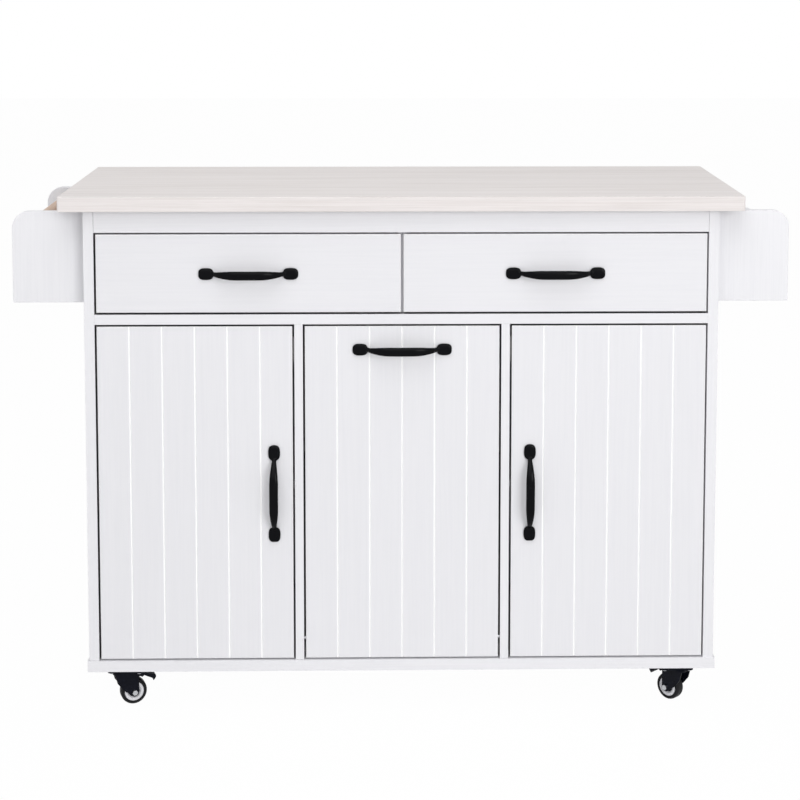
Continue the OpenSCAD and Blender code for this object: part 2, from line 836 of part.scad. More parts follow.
// Cups of a door's two hinges, each with its screw wings, and the plate for the catch
module door_hardware(side) {
    color(steel)
    scale_x(side) {
        for (z = hinge_levels) translate([cup_x, front_back_y, z]) difference() {
            union() {
                translate([0, -cup_depth, 0]) along_y(cup_d, cup_depth);
                rotate([90, 0, 0]) translate([0, 0, -cup_wing_t])
                    linear_extrude(cup_wing_t) round_rect(cup_wing_w, cup_wing_h, 5);
            }
            translate([0, cup_wall - cup_depth, 0])
                along_y(cup_d - 2 * cup_wall, cup_depth + cup_wing_t);
        }
        board([door_in_x + 2, door_in_x + 2 + catch_w], [front_back_y, front_back_y + strike_t],
              [catch_z, catch_z + catch_h]);
    }
}

// Arm of a door hinge seen from above: plate on the side panel, arm, and the nose that
// reaches into the cup. It stays outside the circle that the door's edge turns in.
module hinge_arm() {
    nose_y = front_back_y - cup_depth + cup_wall + face_play + 0.2;
    nose_in = 12.2;
    nose_w = 8;
    arm_t = 11;
    plate_front = front_back_y + arm_plate_from_front;
    arm_back = plate_front + arm_plate_l;
    nose_x = door_axis_x - sqrt(pow(nose_in, 2) - pow(nose_y - door_axis_y, 2));
    wall_x = inner_x - arm_plate_t;
    linear_extrude(arm_h, center = true) polygon([
        [wall_x, arm_back], [wall_x, plate_front], [nose_x - 1, front_back_y + 6],
        [nose_x, nose_y], [nose_x - nose_w, nose_y], [nose_x - nose_w, front_back_y + 6],
        [wall_x - arm_t, plate_front + 12], [wall_x - arm_t, arm_back]]);
    translate([wall_x, plate_front, -cup_wing_h / 2]) cube([arm_plate_t, arm_plate_l, cup_wing_h]);
}

module door_hinge_arms() {
    color(steel) both_sides() for (z = hinge_levels) translate([0, 0, z]) hinge_arm();
}

module door_handle(side) {
    place_handle(side * door_handle_x, door_mid_z, upright = true) handle();
}

// Catches: one for each door on its partition, two for the bin front under the deck
bin_catch_x = 110;

module magnet_catches() {
    catch_y = front_back_y + strike_t + face_play;
    color(white)
    both_sides() {
        board([partition_x + partition_t, partition_x + partition_t + catch_w],
              [catch_y, catch_y + catch_d], [catch_z, catch_z + catch_h]);
        board([bin_catch_x, bin_catch_x + catch_h], [catch_y, catch_y + catch_d],
              [under_deck_z - catch_w, under_deck_z]);
    }
}

// ---------------------------------------------------------------- tilt-out bin

bin_out_x = partition_x - bin_play;
bin_handle_z = door_z + door_h - bin_handle_drop;
bin_up = 17;
bin_z = door_z + bin_up;
bin_back_y = front_back_y + bin_d;

module bin_front() {
    color(white)
    difference() {
        translate([0, face_y, door_mid_z]) planked_front(door_h);
        both_sides() translate([door_w / 2 - bin_pin_in - face_play, pivot_y, pivot_z])
            along_x(bin_pin_d + 2 * pin_play, bin_pin_in + face_play + eps);
        place_handle(0, bin_handle_z) handle_holes();
    }
}

module bin_pivot_pins() {
    color(steel)
    both_sides() translate([door_w / 2 - bin_pin_in, pivot_y, pivot_z])
        along_x(bin_pin_d, bin_pin_in + front_gap + bin_pin_seat);
}

// Side board of the bin holder, drawn in the YZ plane
module bin_side_outline() {
    polygon([[front_back_y, bin_z], [bin_back_y, bin_z], [bin_back_y, bin_z + bin_side_h],
             [front_back_y + bin_d / 2, bin_z + bin_side_h + bin_side_rise / 2],
             [front_back_y, bin_z + bin_side_h + bin_side_rise]]);
}

module bin_holder() {
    in_x = bin_out_x - bin_board_t;
    color(natural_wood) {
        both_sides() translate([in_x, 0, 0]) rotate([90, 0, 90])
            linear_extrude(bin_board_t) bin_side_outline();
        board([-in_x, in_x], [front_back_y, bin_back_y], [bin_z, bin_z + bin_board_t]);
        board([-in_x, in_x], [bin_back_y - bin_board_t, bin_back_y],
              [bin_z + bin_board_t, bin_z + bin_back_h]);
    }
}

// Plates on the bin front that its two catches hold
module bin_strikes() {
    color(steel) both_sides()
        board([bin_catch_x, bin_catch_x + catch_h], [front_back_y, front_back_y + strike_t],
              [under_deck_z - catch_w, door_z + door_h - 1]);
}

module bin_handle() {
    place_handle(0, bin_handle_z) handle();
}

// Cleats on the base panel that the bin front's lower edge meets when the bin is out
stop_l = 60;
stop_w = 18;
stop_h = 15;
stop_y = pivot_y + front_t / 2 * cos(bin_tilt) + bin_pivot_up * sin(bin_tilt) + face_play;

module bin_stops() {
    color(white)
    both_sides() board([partition_x - stop_l, partition_x], [stop_y, stop_y + stop_w],
                       [floor_z, floor_z + stop_h]);
}

// ---------------------------------------------------------------- casters

// A caster is drawn with its swivel axis on Z and its wheel trailing towards +X
wheel_r = wheel_d / 2;
plate_z = caster_h - plate_t;
race_h = 2.7;
race_d = 34;
crown_top_z = plate_z - race_h - face_play;
crown_t = 3.5;
// The crown is a round-cornered plate from crown_back behind the swivel axis
crown_l = 53;
crown_w = 38;
crown_r = 12;
crown_back = -28;
crown_z = crown_top_z - crown_t;
rivet_t = 2.5;
rivet_d = 15;
leg_t = 2;
leg_gap = 2;
leg_in = wheel_w / 2 + leg_gap;
boss_r = 8;
axle_head_d = 10;
axle_head_t = 4;
brake_pin_d = 4;
brake_x = caster_trail + 4;
brake_z = crown_z - 5;
brake_w = 2 * leg_in - 1;
screw_x = plate_w / 2 - 7;
screw_y = plate_d / 2 - 6.5;
plate_screw_d = 5;
plate_screw_in = 13;
plate_screw_head_d = 8;
plate_screw_head_t = 2.6;

// Swivel axes, headings of the wheels and turns of the plates, in the order of their names
caster_x = body_w / 2 - caster_in_x;
front_caster_y = face_y + caster_in_y;
back_caster_y = body_back_y - caster_in_y;
FRONT_LEFT = [-caster_x, front_caster_y, 20, 0];
FRONT_RIGHT = [caster_x, front_caster_y, 134, 90];
BACK_LEFT = [-caster_x, back_caster_y, 200, 0];
BACK_RIGHT = [caster_x, back_caster_y, 330, 90];
CASTERS = [FRONT_LEFT, FRONT_RIGHT, BACK_LEFT, BACK_RIGHT];

module at_caster(c) {
    translate([c[0], c[1], 0]) rotate([0, 0, c[2]]) children();
}

module plate_outline() {
    round_rect(plate_w, plate_d, 6);
}

module at_plate_screws() {
    for (c = CASTERS, x = [-screw_x, screw_x], y = [-screw_y, screw_y])
        translate([c[0], c[1], 0]) rotate([0, 0, c[3]]) translate([x, y, 0]) children();
}

module caster_plates() {
    color(black) difference() {
        for (c = CASTERS) translate([c[0], c[1], 0]) rotate([0, 0, c[3]]) {
            translate([0, 0, plate_z]) linear_extrude(plate_t) plate_outline();
            translate([0, 0, plate_z - race_h]) cylinder(d = race_d, h = race_h);
            translate([0, 0, crown_z - face_play]) cylinder(d = kingpin_d, h = plate_z - crown_z);
            translate([0, 0, crown_z - face_play - rivet_t]) cylinder(d = rivet_d, h = rivet_t);
        }
        at_plate_screws() translate([0, 0, plate_z - eps])
            cylinder(d = plate_screw_d + 2 * free_play, h = plate_t + 2 * eps);
    }
}

// Pan-head screws that hold the plates to the base panel
module caster_screws() {
    color(steel)
    at_plate_screws() {
        translate([0, 0, plate_z - plate_screw_head_t])
            cylinder(d = plate_screw_head_d, h = plate_screw_head_t);
        translate([0, 0, plate_z]) cylinder(d = plate_screw_d, h = plate_t + plate_screw_in);
    }
}

// Leg of the fork, drawn in the XZ plane: it slants back from the crown's rim to the
// axle's boss, and its other edge is upright
leg_rim_x = crown_back + 3.5;
leg_knee = [crown_back + 7.5, wheel_r + 20];
leg_waist = [caster_trail - boss_r - 12, wheel_r + 6];

module leg_outline() {
    polygon([[leg_rim_x, crown_top_z], [leg_rim_x, crown_z - 1], leg_knee, leg_waist,
             [caster_trail - boss_r / 2, wheel_r - boss_r * 0.8],
             [caster_trail + boss_r, wheel_r], [caster_trail + boss_r, crown_top_z]]);
    translate([caster_trail, wheel_r]) circle(boss_r);
}

module fork(c) {
    color(black)
    at_caster(c) difference() {
        union() {
            translate([crown_back + crown_l / 2, 0, crown_z]) linear_extrude(crown_t)
                round_rect(crown_l, crown_w, crown_r);
            for (s = [-1, 1]) translate([0, s * (leg_in + leg_t / 2) + leg_t / 2, 0])
                rotate([90, 0, 0]) linear_extrude(leg_t) leg_outline();
        }
        translate([0, 0, crown_z - eps]) cylinder(d = kingpin_d + 2 * pin_play, h = crown_t + 2 * eps);
        translate([brake_x, -leg_in - leg_t - eps, brake_z])
            along_y(brake_pin_d + 2 * pin_play, 2 * (leg_in + leg_t + eps));
    }
    color(steel) at_caster(c) translate([caster_trail, 0, wheel_r]) {
        reach = leg_in + leg_t;
        translate([0, -reach - eps, 0]) along_y(axle_d, 2 * (reach + eps));
        for (y = [-reach - axle_head_t, reach - eps]) translate([0, y, 0])
            rotate([-90, 0, 0]) cylinder(d = axle_head_d, h = axle_head_t + eps, $fn = 6);
    }
}

// Wheel: crowned tread, dished sides with a raised rim and a hub, as [radius, half width]
tread_t = 3;
hub_r = 8;
dish = 2.5;
rim_in_r = 11;
rim_out_r = 17.2;
half_w_wheel = wheel_w / 2;
hub_half = half_w_wheel + leg_gap - face_play;
wheel_side = [
    [axle_d / 2 + pin_play, hub_half], [hub_r - 1, hub_half], [hub_r, half_w_wheel],
    [hub_r + 1, half_w_wheel - dish], [rim_in_r - 1, half_w_wheel - dish],
    [rim_in_r, half_w_wheel - 0.5], [rim_out_r, half_w_wheel - 0.5],
    [rim_out_r + 0.8, half_w_wheel - 1.3], [rim_out_r + 1.6, half_w_wheel],
    [wheel_r - tread_t, half_w_wheel], [wheel_r - 0.8, half_w_wheel - 2],
    [wheel_r, half_w_wheel - 5]];

module wheel(c) {
    other_side = [for (i = [len(wheel_side) - 1 : -1 : 0]) [wheel_side[i][0], -wheel_side[i][1]]];
    color(black)
    at_caster(c) translate([caster_trail, 0, wheel_r]) rotate([90, 0, 0])
        rotate_extrude($fn = 96) polygon(concat(wheel_side, other_side));
}

brake_press = 26;
pad_angle = 27;
// Where the pad meets the tyre when the pedal is pressed, from the pedal's pin
pad_down = [caster_trail + (wheel_r + face_play) * sin(pad_angle) - brake_x,
            wheel_r + (wheel_r + face_play) * cos(pad_angle) - brake_z];
// The same point with the pedal released
pad = [pad_down[0] * cos(brake_press) - pad_down[1] * sin(brake_press),
       pad_down[0] * sin(brake_press) + pad_down[1] * cos(brake_press)];
pedal_l = 35.5;
pedal_boss_r = 3.6;
// The pedal's plate, seen from the side: its top, the lip at its end and its underside
pedal_top = [[-2, 3], [8, 2.5], [pedal_l - 3, -3]];
pedal_lip = [[pedal_l, -5.5], [pedal_l, -9], [pedal_l - 2, -12], [pedal_l - 4.5, -15]];
pedal_under = [[pedal_l - 6, -10.5], [19, -5.5]];

// Side view of the pedal from its pin: a plate over the wheel with a pad under it and a
// lip at its end
module pedal_outline() {
    circle(pedal_boss_r);
    polygon(concat(pedal_top, pedal_lip, pedal_under,
                   [pad + [3.5, 3], pad, pad + [-3, 2], [0, -3.4]]));
}

// Brake pedal, which turns on two trunnions in the fork's legs
module brake(c) {
    color(black)
    at_caster(c) translate([brake_x, 0, brake_z]) {
        rotate([90, 0, 0]) translate([0, 0, -brake_w / 2]) linear_extrude(brake_w) pedal_outline();
        for (y = [brake_w / 2 - eps, -leg_in - leg_t]) translate([0, y, 0])
            along_y(brake_pin_d, leg_in + leg_t - brake_w / 2 + eps);
    }
}

// ---------------------------------------------------------------- nodes

worktop();
side_panel(LEFT);  // side_panel_left
side_panel(RIGHT);  // side_panel_right
base_panel();
back_panel();
partitions();
drawer_deck();
drawer_divider();
top_rails();
shelves();
shelf_pins();
drawer_runner_channels();
door_hinge_arms();
magnet_catches();
towel_rack_ends();
towel_rail();
spice_rack_ends();
spice_rack_floor();
spice_rack_guard();
leaf_hinge_plates();
brace_wall_plates();
bin_pivot_pins();
bin_stops();
caster_plates();
caster_screws();
drop_leaf();
leaf_hinge_flaps();
brace_rests();
brace(LEFT);  // brace_left
brace(RIGHT);  // brace_right
drawer_front(LEFT);  // drawer_left_front
drawer_box(LEFT);  // drawer_left_box
drawer_slides(LEFT);  // drawer_left_slides
drawer_handle(LEFT);  // drawer_left_handle
drawer_front(RIGHT);  // drawer_right_front
drawer_box(RIGHT);  // drawer_right_box
drawer_slides(RIGHT);  // drawer_right_slides
drawer_handle(RIGHT);  // drawer_right_handle
door(LEFT);  // door_left
door_hardware(LEFT);  // door_left_hardware
door_handle(LEFT);  // door_left_handle
door(RIGHT);  // door_right
door_hardware(RIGHT);  // door_right_hardware
door_handle(RIGHT);  // door_right_handle
bin_front();
bin_holder();
bin_strikes();
bin_handle();
fork(FRONT_LEFT);  // fork_front_left
wheel(FRONT_LEFT);  // wheel_front_left
brake(FRONT_LEFT);  // brake_front_left
fork(FRONT_RIGHT);  // fork_front_right
wheel(FRONT_RIGHT);  // wheel_front_right
brake(FRONT_RIGHT);  // brake_front_right
fork(BACK_LEFT);  // fork_back_left
wheel(BACK_LEFT);  // wheel_back_left
brake(BACK_LEFT);  // brake_back_left
fork(BACK_RIGHT);  // fork_back_right
wheel(BACK_RIGHT);  // wheel_back_right
brake(BACK_RIGHT);  // brake_back_right
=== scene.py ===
"""Finishes and detailed pieces for a kitchen island with a drop leaf.

The boards get eased edges and grained paint, and the handles, casters and screws are
surfaces worked out from the sizes of the frame that is loaded below.
"""

import json
import math

import bmesh
import bpy
import numpy as np
from mathutils import Matrix, Vector


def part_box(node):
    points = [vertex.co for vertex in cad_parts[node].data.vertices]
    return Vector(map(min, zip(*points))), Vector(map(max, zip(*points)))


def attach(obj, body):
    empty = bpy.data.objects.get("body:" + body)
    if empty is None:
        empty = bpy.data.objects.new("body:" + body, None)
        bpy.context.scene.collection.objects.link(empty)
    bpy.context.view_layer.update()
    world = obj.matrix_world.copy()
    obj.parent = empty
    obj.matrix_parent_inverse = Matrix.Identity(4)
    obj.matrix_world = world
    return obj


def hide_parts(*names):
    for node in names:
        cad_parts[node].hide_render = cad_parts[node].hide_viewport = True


bl_info = {
    "name": "Drop Leaf Kitchen Island",
    "version": (1, 0, 0),
    "blender": (4, 5, 0),
    "location": "3D View > Sidebar > Island",
    "description": "Finishes and detailed pieces of a kitchen island with a drop leaf",
    "category": "Object",
}

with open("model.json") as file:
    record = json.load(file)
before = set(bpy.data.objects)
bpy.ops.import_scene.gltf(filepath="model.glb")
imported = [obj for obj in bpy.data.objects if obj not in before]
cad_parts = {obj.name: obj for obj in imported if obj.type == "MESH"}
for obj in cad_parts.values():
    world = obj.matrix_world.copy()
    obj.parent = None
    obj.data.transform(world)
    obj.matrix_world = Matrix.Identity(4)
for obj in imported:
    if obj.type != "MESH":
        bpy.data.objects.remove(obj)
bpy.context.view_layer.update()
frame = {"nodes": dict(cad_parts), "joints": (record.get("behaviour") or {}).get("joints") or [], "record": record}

MM = 0.001
CORNERS = ("front_left", "front_right", "back_left", "back_right")
JOINTS = {joint["name"]: joint for joint in frame["joints"]}
NODE_BODY = {
    node: body
    for body, nodes in frame["record"]["behaviour"]["bodies"].items()
    for node in nodes
}


# ------------------------------------------------------------------ settings


def colour_setting(name, description, default):
    return bpy.props.FloatVectorProperty(
        name=name, description=description, subtype="COLOR", size=3, min=0, max=1, default=default
    )


def length_setting(name, description, default):
    return bpy.props.FloatProperty(
        name=name, description=description, unit="LENGTH", subtype="DISTANCE", min=0, default=default
    )


class IslandFinish(bpy.types.PropertyGroup):
    """Colours of the finishes, as linear values"""

    paint: colour_setting("Paint", "White foil on the boards", (0.80, 0.797, 0.822))
    # the boards' white made a little darker for the fronts: painted shade
    shaded_front_paint: colour_setting("Shaded front paint", "White foil on the fronts, a little darker: painted shade", (0.776, 0.773, 0.799))
    paint_streak: colour_setting("Paint streak", "Grain pressed into the white foil", (0.73, 0.73, 0.76))
    # whiter paint in the fronts' grooves, which also stands in for the light that the groove walls catch: partly a
    # painted highlight
    routed_paint: colour_setting("Groove paint and highlight", "Whiter paint in the fronts' grooves, partly a painted highlight", (0.95, 0.95, 0.955))
    # painted shade: the colour that the paint turns to deep in the gaps round the fronts, where shadow falls
    painted_gap_shade: colour_setting("Painted gap shade", "Painted shade deep in the gaps round the fronts", (0.03, 0.03, 0.032))
    worktop: colour_setting("Worktop", "Whitewashed worktop", (0.692, 0.650, 0.637))
    worktop_light: colour_setting("Worktop streak", "Pale streaks of the worktop", (0.80, 0.760, 0.752))
    worktop_dark: colour_setting("Worktop grain", "Dark grain of the worktop", (0.61, 0.56, 0.53))
    rail_wood: colour_setting("Towel rail", "Bare wood of the towel rail", (0.60, 0.43, 0.33))
    rail_grain: colour_setting("Towel rail grain", "Dark grain of the towel rail", (0.44, 0.28, 0.18))
    box_wood: colour_setting("Drawer boxes", "Lacquered boards of boxes and bin holder", (0.66, 0.49, 0.31))
    box_grain: colour_setting("Drawer box grain", "Dark grain of the boxes", (0.50, 0.34, 0.20))
    handle: colour_setting("Handles", "Gloss black of the handles", (0.0022, 0.0023, 0.0032))
    black_steel: colour_setting("Black steel", "Forks, plates, pedals and braces", (0.003, 0.0036, 0.0075))
    zinc: colour_setting("Zinc", "Plated screws, runners and hinges", (0.52, 0.53, 0.55))
    tyre: colour_setting("Tyres", "Black rubber of the tyres", (0.006, 0.006, 0.007))
    hub: colour_setting("Hubs", "Pale ring of the wheels", (0.76, 0.76, 0.79))
    plastic: colour_setting("Catches", "White plastic of the catches", (0.80, 0.80, 0.79))


class IslandSizes(bpy.types.PropertyGroup):
    """Sizes of the detailed pieces"""

    board_edge: length_setting("Board edge", "Rounding of the boards' edges", 0.8 * MM)
    front_edge: length_setting("Front edge", "Rounding of the edges beside the gaps", 0.3 * MM)
    gap_inset: length_setting("Gap inset", "How far the fronts' gap sides are drawn in", 0.4 * MM)
    steel_edge: length_setting("Steel edge", "Rounding of the steel pieces' edges", 0.35 * MM)
    foot_length: length_setting("Handle foot", "Length of a handle's foot", 27 * MM)
    foot_height: length_setting("Foot height", "Height of a handle's foot", 5.5 * MM)
    bow_width: length_setting("Bow width", "Width of a handle's bow at its middle", 15.6 * MM)
    neck_width: length_setting("Neck width", "Width of a handle's bow at its feet", 7.4 * MM)
    bow_thickness: length_setting("Bow thickness", "Thickness of a handle's bow", 8 * MM)


class IslandStage(bpy.types.PropertyGroup):
    """Camera and light of the photograph"""

    camera_place: bpy.props.FloatVectorProperty(
        name="Camera", description="Where the camera stands", subtype="TRANSLATION", unit="LENGTH",
        size=3, default=(-0.0282, -3.3652, 1.3443),
    )
    camera_pitch: bpy.props.FloatProperty(
        name="Pitch", description="How far the camera looks down", subtype="ANGLE",
        default=math.radians(5.1121),
    )
    camera_yaw: bpy.props.FloatProperty(
        name="Yaw", description="How far the camera turns to the left", subtype="ANGLE",
        default=math.radians(-1.1461),
    )
    camera_roll: bpy.props.FloatProperty(
        name="Roll", description="How far the camera leans", subtype="ANGLE",
        default=math.radians(0.0657),
    )
    focal_px: bpy.props.FloatProperty(
        name="Focal length", description="Focal length in pixels of the photograph", default=1808.6,
    )
    centre_px: bpy.props.FloatVectorProperty(
        name="Principal point", description="Where the level line of sight meets the photograph, in pixels",
        size=2, default=(422.1, 119.7),
    )
    frame_px: bpy.props.FloatProperty(
        name="Photograph side", description="Side of the square photograph in pixels", default=800,
    )
    key_power: bpy.props.FloatProperty(
        name="Key light", description="Strength of the light at the right", default=164,
    )
    fill_power: bpy.props.FloatProperty(
        name="Fill light", description="Strength of the large light over the camera", default=63,
    )
    top_power: bpy.props.FloatProperty(
        name="Top light", description="Strength of the light overhead", default=58,
    )
    room: bpy.props.FloatProperty(
        name="Room light", description="Strength of the even light of the room", default=0.385,
    )


# ------------------------------------------------------------------ meshes

SAME_POINT = 0.004 * MM  # a node's points closer than this are one point
SAME_PLANE = 0.02 * MM  # points closer than this to a plane lie on it
SAME_FACE_DEG = 0.4  # a node's faces that turn less than this are one face
SHARP_EDGE_DEG = 30  # edges that turn more than this are rounded
SQUARE_ON = 0.9  # a face whose normal has more than this along an axis is square to it


def mesh_from_grid(name, points, close_around=True):
    """Mesh of a grid of points [along, around, 3], with its poles merged.

    Face (i, j) joins the points (i, j), (i, j + 1), (i + 1, j + 1) and (i + 1, j); the last
    column joins the first when the surface closes around.
    """
    along, around = points.shape[:2]
    columns = around if close_around else around - 1
    i, j = np.meshgrid(np.arange(along - 1), np.arange(columns), indexing="ij")
    k = (j + 1) % around
    row, next_row = i * around, (i + 1) * around
    faces = np.stack([row + j, row + k, next_row + k, next_row + j], axis=-1).reshape(-1, 4)
    mesh = bpy.data.meshes.new(name)
    mesh.vertices.add(along * around)
    mesh.vertices.foreach_set("co", points.reshape(-1).astype(np.float32))
    mesh.loops.add(faces.size)
    mesh.loops.foreach_set("vertex_index", faces.reshape(-1).astype(np.int32))
    mesh.polygons.add(len(faces))
    mesh.polygons.foreach_set("loop_start", np.arange(0, faces.size, 4, dtype=np.int32))
    mesh.update(calc_edges=True)
    close_mesh(mesh)
    return mesh


def close_mesh(mesh, distance=0.001 * MM):
    """Merges points that coincide and turns the faces outwards."""
    work = bmesh.new()
    work.from_mesh(mesh)
    bmesh.ops.remove_doubles(work, verts=work.verts, dist=distance)
    bmesh.ops.dissolve_degenerate(work, edges=work.edges, dist=distance / 2)
    bmesh.ops.recalc_face_normals(work, faces=work.faces)
    work.to_mesh(mesh)
    work.free()
    mesh.update()


def join_meshes(name, meshes):
    """One mesh that holds all of the given ones."""
    work = bmesh.new()
    for mesh in meshes:
        work.from_mesh(mesh)
    joined = bpy.data.meshes.new(name)
    work.to_mesh(joined)
    work.free()
    for mesh in meshes:
        bpy.data.meshes.remove(mesh)
    return joined


def add_piece(name, mesh, materials, body, replaced=()):
    """Object for a finished mesh, riding on its body and standing for the replaced nodes."""
    piece = bpy.data.objects.new(name, mesh)
    bpy.context.scene.collection.objects.link(piece)
    mesh.materials.clear()
    for material in materials:
        mesh.materials.append(material)
    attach(piece, body)
    if replaced:
        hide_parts(*replaced)
    return piece


def smooth_shade(mesh, sharp_deg=None):
    """Smooth shading, with edges over the given angle kept sharp."""
    mesh.polygons.foreach_set("use_smooth", np.ones(len(mesh.polygons), dtype=bool))
    if sharp_deg is not None:
        mesh.set_sharp_from_angle(angle=math.radians(sharp_deg))
    mesh.update()


def node_points(node):
    """Vertices of a node, as an array."""
    vertices = frame["nodes"][node].data.vertices
    points = np.empty(len(vertices) * 3, dtype=np.float32)
    vertices.foreach_get("co", points)
    return points.reshape(-1, 3)


def draw_in(mesh, centres, normals, chosen, inset):
    """Moves the outer planes that hold chosen faces inwards, along X and Z."""
    points = np.empty(len(mesh.vertices) * 3, dtype=np.float32)
    mesh.vertices.foreach_get("co", points)
    points = points.reshape(-1, 3)
    for axis in (0, 2):
        for sign in (-1, 1):
            plane = (sign * points[:, axis]).max() * sign
            outer = sign * normals[:, axis] > SQUARE_ON
            outer &= np.abs(centres[:, axis] - plane) < SAME_PLANE
            if (outer & chosen).any():
                points[np.abs(points[:, axis] - plane) < SAME_PLANE, axis] -= sign * inset
    mesh.vertices.foreach_set("co", points.reshape(-1))
    mesh.update()


def eased_copy(node, edge, materials, choose=None, inset=0.0):
    """Copy of a node with rounded edges, which stands for the node.

    The copy's loose triangles are merged and its flat faces joined, and a bevel of the given
    width rounds every sharp edge. choose gives the material number of each face
    from the arrays of face centres and normals. The outer faces with the last number are
    drawn in by the inset.
    """
    mesh = frame["nodes"][node].data.copy()
    mesh.name = node + "_eased"
    work = bmesh.new()
    work.from_mesh(mesh)
    bmesh.ops.remove_doubles(work, verts=work.verts, dist=SAME_POINT)
    flat = math.radians(SAME_FACE_DEG)
    bmesh.ops.dissolve_limit(
        work, angle_limit=flat, verts=work.verts, edges=work.edges, delimit={"NORMAL"}
    )
    work.to_mesh(mesh)
    work.free()
    mesh.update()
    piece = add_piece(node + "_eased", mesh, materials, NODE_BODY[node], [node])
    if choose is not None:
        faces = len(mesh.polygons)
        centres = np.empty(faces * 3, dtype=np.float32)
        normals = np.empty(faces * 3, dtype=np.float32)
        mesh.polygons.foreach_get("center", centres)
        mesh.polygons.foreach_get("normal", normals)
        centres, normals = centres.reshape(-1, 3), normals.reshape(-1, 3)
        numbers = choose(centres, normals)
        mesh.polygons.foreach_set("material_index", numbers.astype(np.int32))
        if inset:
            draw_in(mesh, centres, normals, numbers == len(materials) - 1, inset)
    else:
        mesh.polygons.foreach_set("material_index", np.zeros(len(mesh.polygons), dtype=np.int32))
    smooth_shade(mesh)
    bevel = piece.modifiers.new("Eased edges", "BEVEL")
    bevel.width = edge
    bevel.segments = 2
    bevel.limit_method = "ANGLE"
    bevel.angle_limit = math.radians(SHARP_EDGE_DEG)
    bevel.use_clamp_overlap = True
    piece.modifiers.new("Flat faces", "WEIGHTED_NORMAL").weight = 100
    return piece


# ------------------------------------------------------------------ shader groups


def add_node(tree, kind, **settings):
    node = tree.nodes.new(kind)
    for key, value in settings.items():
        setattr(node, key, value)
    return node


def new_group(name, inputs, outputs):
    """Empty shader node group with the named sockets; returns the group and its two ends."""
    group = bpy.data.node_groups.new(name, "ShaderNodeTree")
    for label, kind, default in inputs:
        socket = group.interface.new_socket(name=label, in_out="INPUT", socket_type=kind)
        socket.default_value = default
    for label, kind in outputs:
        group.interface.new_socket(name=label, in_out="OUTPUT", socket_type=kind)
    return group, add_node(group, "NodeGroupInput"), add_node(group, "NodeGroupOutput")


def streak_group():
    """Streaks: stretched noise, cut to a mask between the low and high levels."""
    group, ins, outs = new_group(
        "Streaks",
        [
            ("Place", "NodeSocketVector", (0, 0, 0)),
            ("Stretch", "NodeSocketVector", (10, 10, 10)),
            ("Detail", "NodeSocketFloat", 4.0),
            ("Twist", "NodeSocketFloat", 0.2),
            ("Low", "NodeSocketFloat", 0.35),
            ("High", "NodeSocketFloat", 0.65),
        ],
        [("Mask", "NodeSocketFloat")],
    )
    link = group.links.new
    stretch = add_node(group, "ShaderNodeVectorMath", operation="MULTIPLY")
    noise = add_node(group, "ShaderNodeTexNoise")
    noise.inputs["Scale"].default_value = 1
    noise.inputs["Roughness"].default_value = 0.6
    cut = add_node(group, "ShaderNodeMapRange")
    link(ins.outputs["Place"], stretch.inputs[0])
    link(ins.outputs["Stretch"], stretch.inputs[1])
    link(stretch.outputs[0], noise.inputs["Vector"])
    link(ins.outputs["Detail"], noise.inputs["Detail"])
    link(ins.outputs["Twist"], noise.inputs["Distortion"])
    link(noise.outputs["Fac"], cut.inputs["Value"])
    link(ins.outputs["Low"], cut.inputs["From Min"])
    link(ins.outputs["High"], cut.inputs["From Max"])
    link(cut.outputs["Result"], outs.inputs["Mask"])
    return group


def tint_group():
    """Tint: a colour mixed towards a second one by a mask times an amount."""
    group, ins, outs = new_group(
        "Tint",
        [
            ("Colour", "NodeSocketColor", (1, 1, 1, 1)),
            ("Towards", "NodeSocketColor", (0, 0, 0, 1)),
            ("Mask", "NodeSocketFloat", 0.0),
            ("Amount", "NodeSocketFloat", 0.5),
        ],
        [("Colour", "NodeSocketColor")],
    )
    link = group.links.new
    share = add_node(group, "ShaderNodeMath", operation="MULTIPLY")
    mix = add_node(group, "ShaderNodeMix", data_type="RGBA")
    link(ins.outputs["Mask"], share.inputs[0])
    link(ins.outputs["Amount"], share.inputs[1])
    link(share.outputs[0], mix.inputs["Factor"])
    link(ins.outputs["Colour"], mix.inputs["A"])
    link(ins.outputs["Towards"], mix.inputs["B"])
    link(mix.outputs["Result"], outs.inputs["Colour"])
    return group


SHADE_STARTS = 0.58  # share of the view within reach that is open where the painted gap shade begins
SHADE_FULL = 0.30  # and where it is full


def gap_shade_group():
    """Painted gap shade: a mask, 0 where a surface sees far, 1 deep in a gap narrower than the reach."""
    group, ins, outs = new_group(
        "Painted gap shade", [("Reach", "NodeSocketFloat", 0.012)], [("Mask", "NodeSocketFloat")]
    )
    open_view = add_node(group, "ShaderNodeAmbientOcclusion", samples=8)
    cut = add_node(group, "ShaderNodeMapRange")
    for socket, value in (("From Min", SHADE_STARTS), ("From Max", SHADE_FULL)):
        cut.inputs[socket].default_value = value
    group.links.new(ins.outputs["Reach"], open_view.inputs["Distance"])
    group.links.new(open_view.outputs["AO"], cut.inputs["Value"])
    group.links.new(cut.outputs["Result"], outs.inputs["Mask"])
    return group


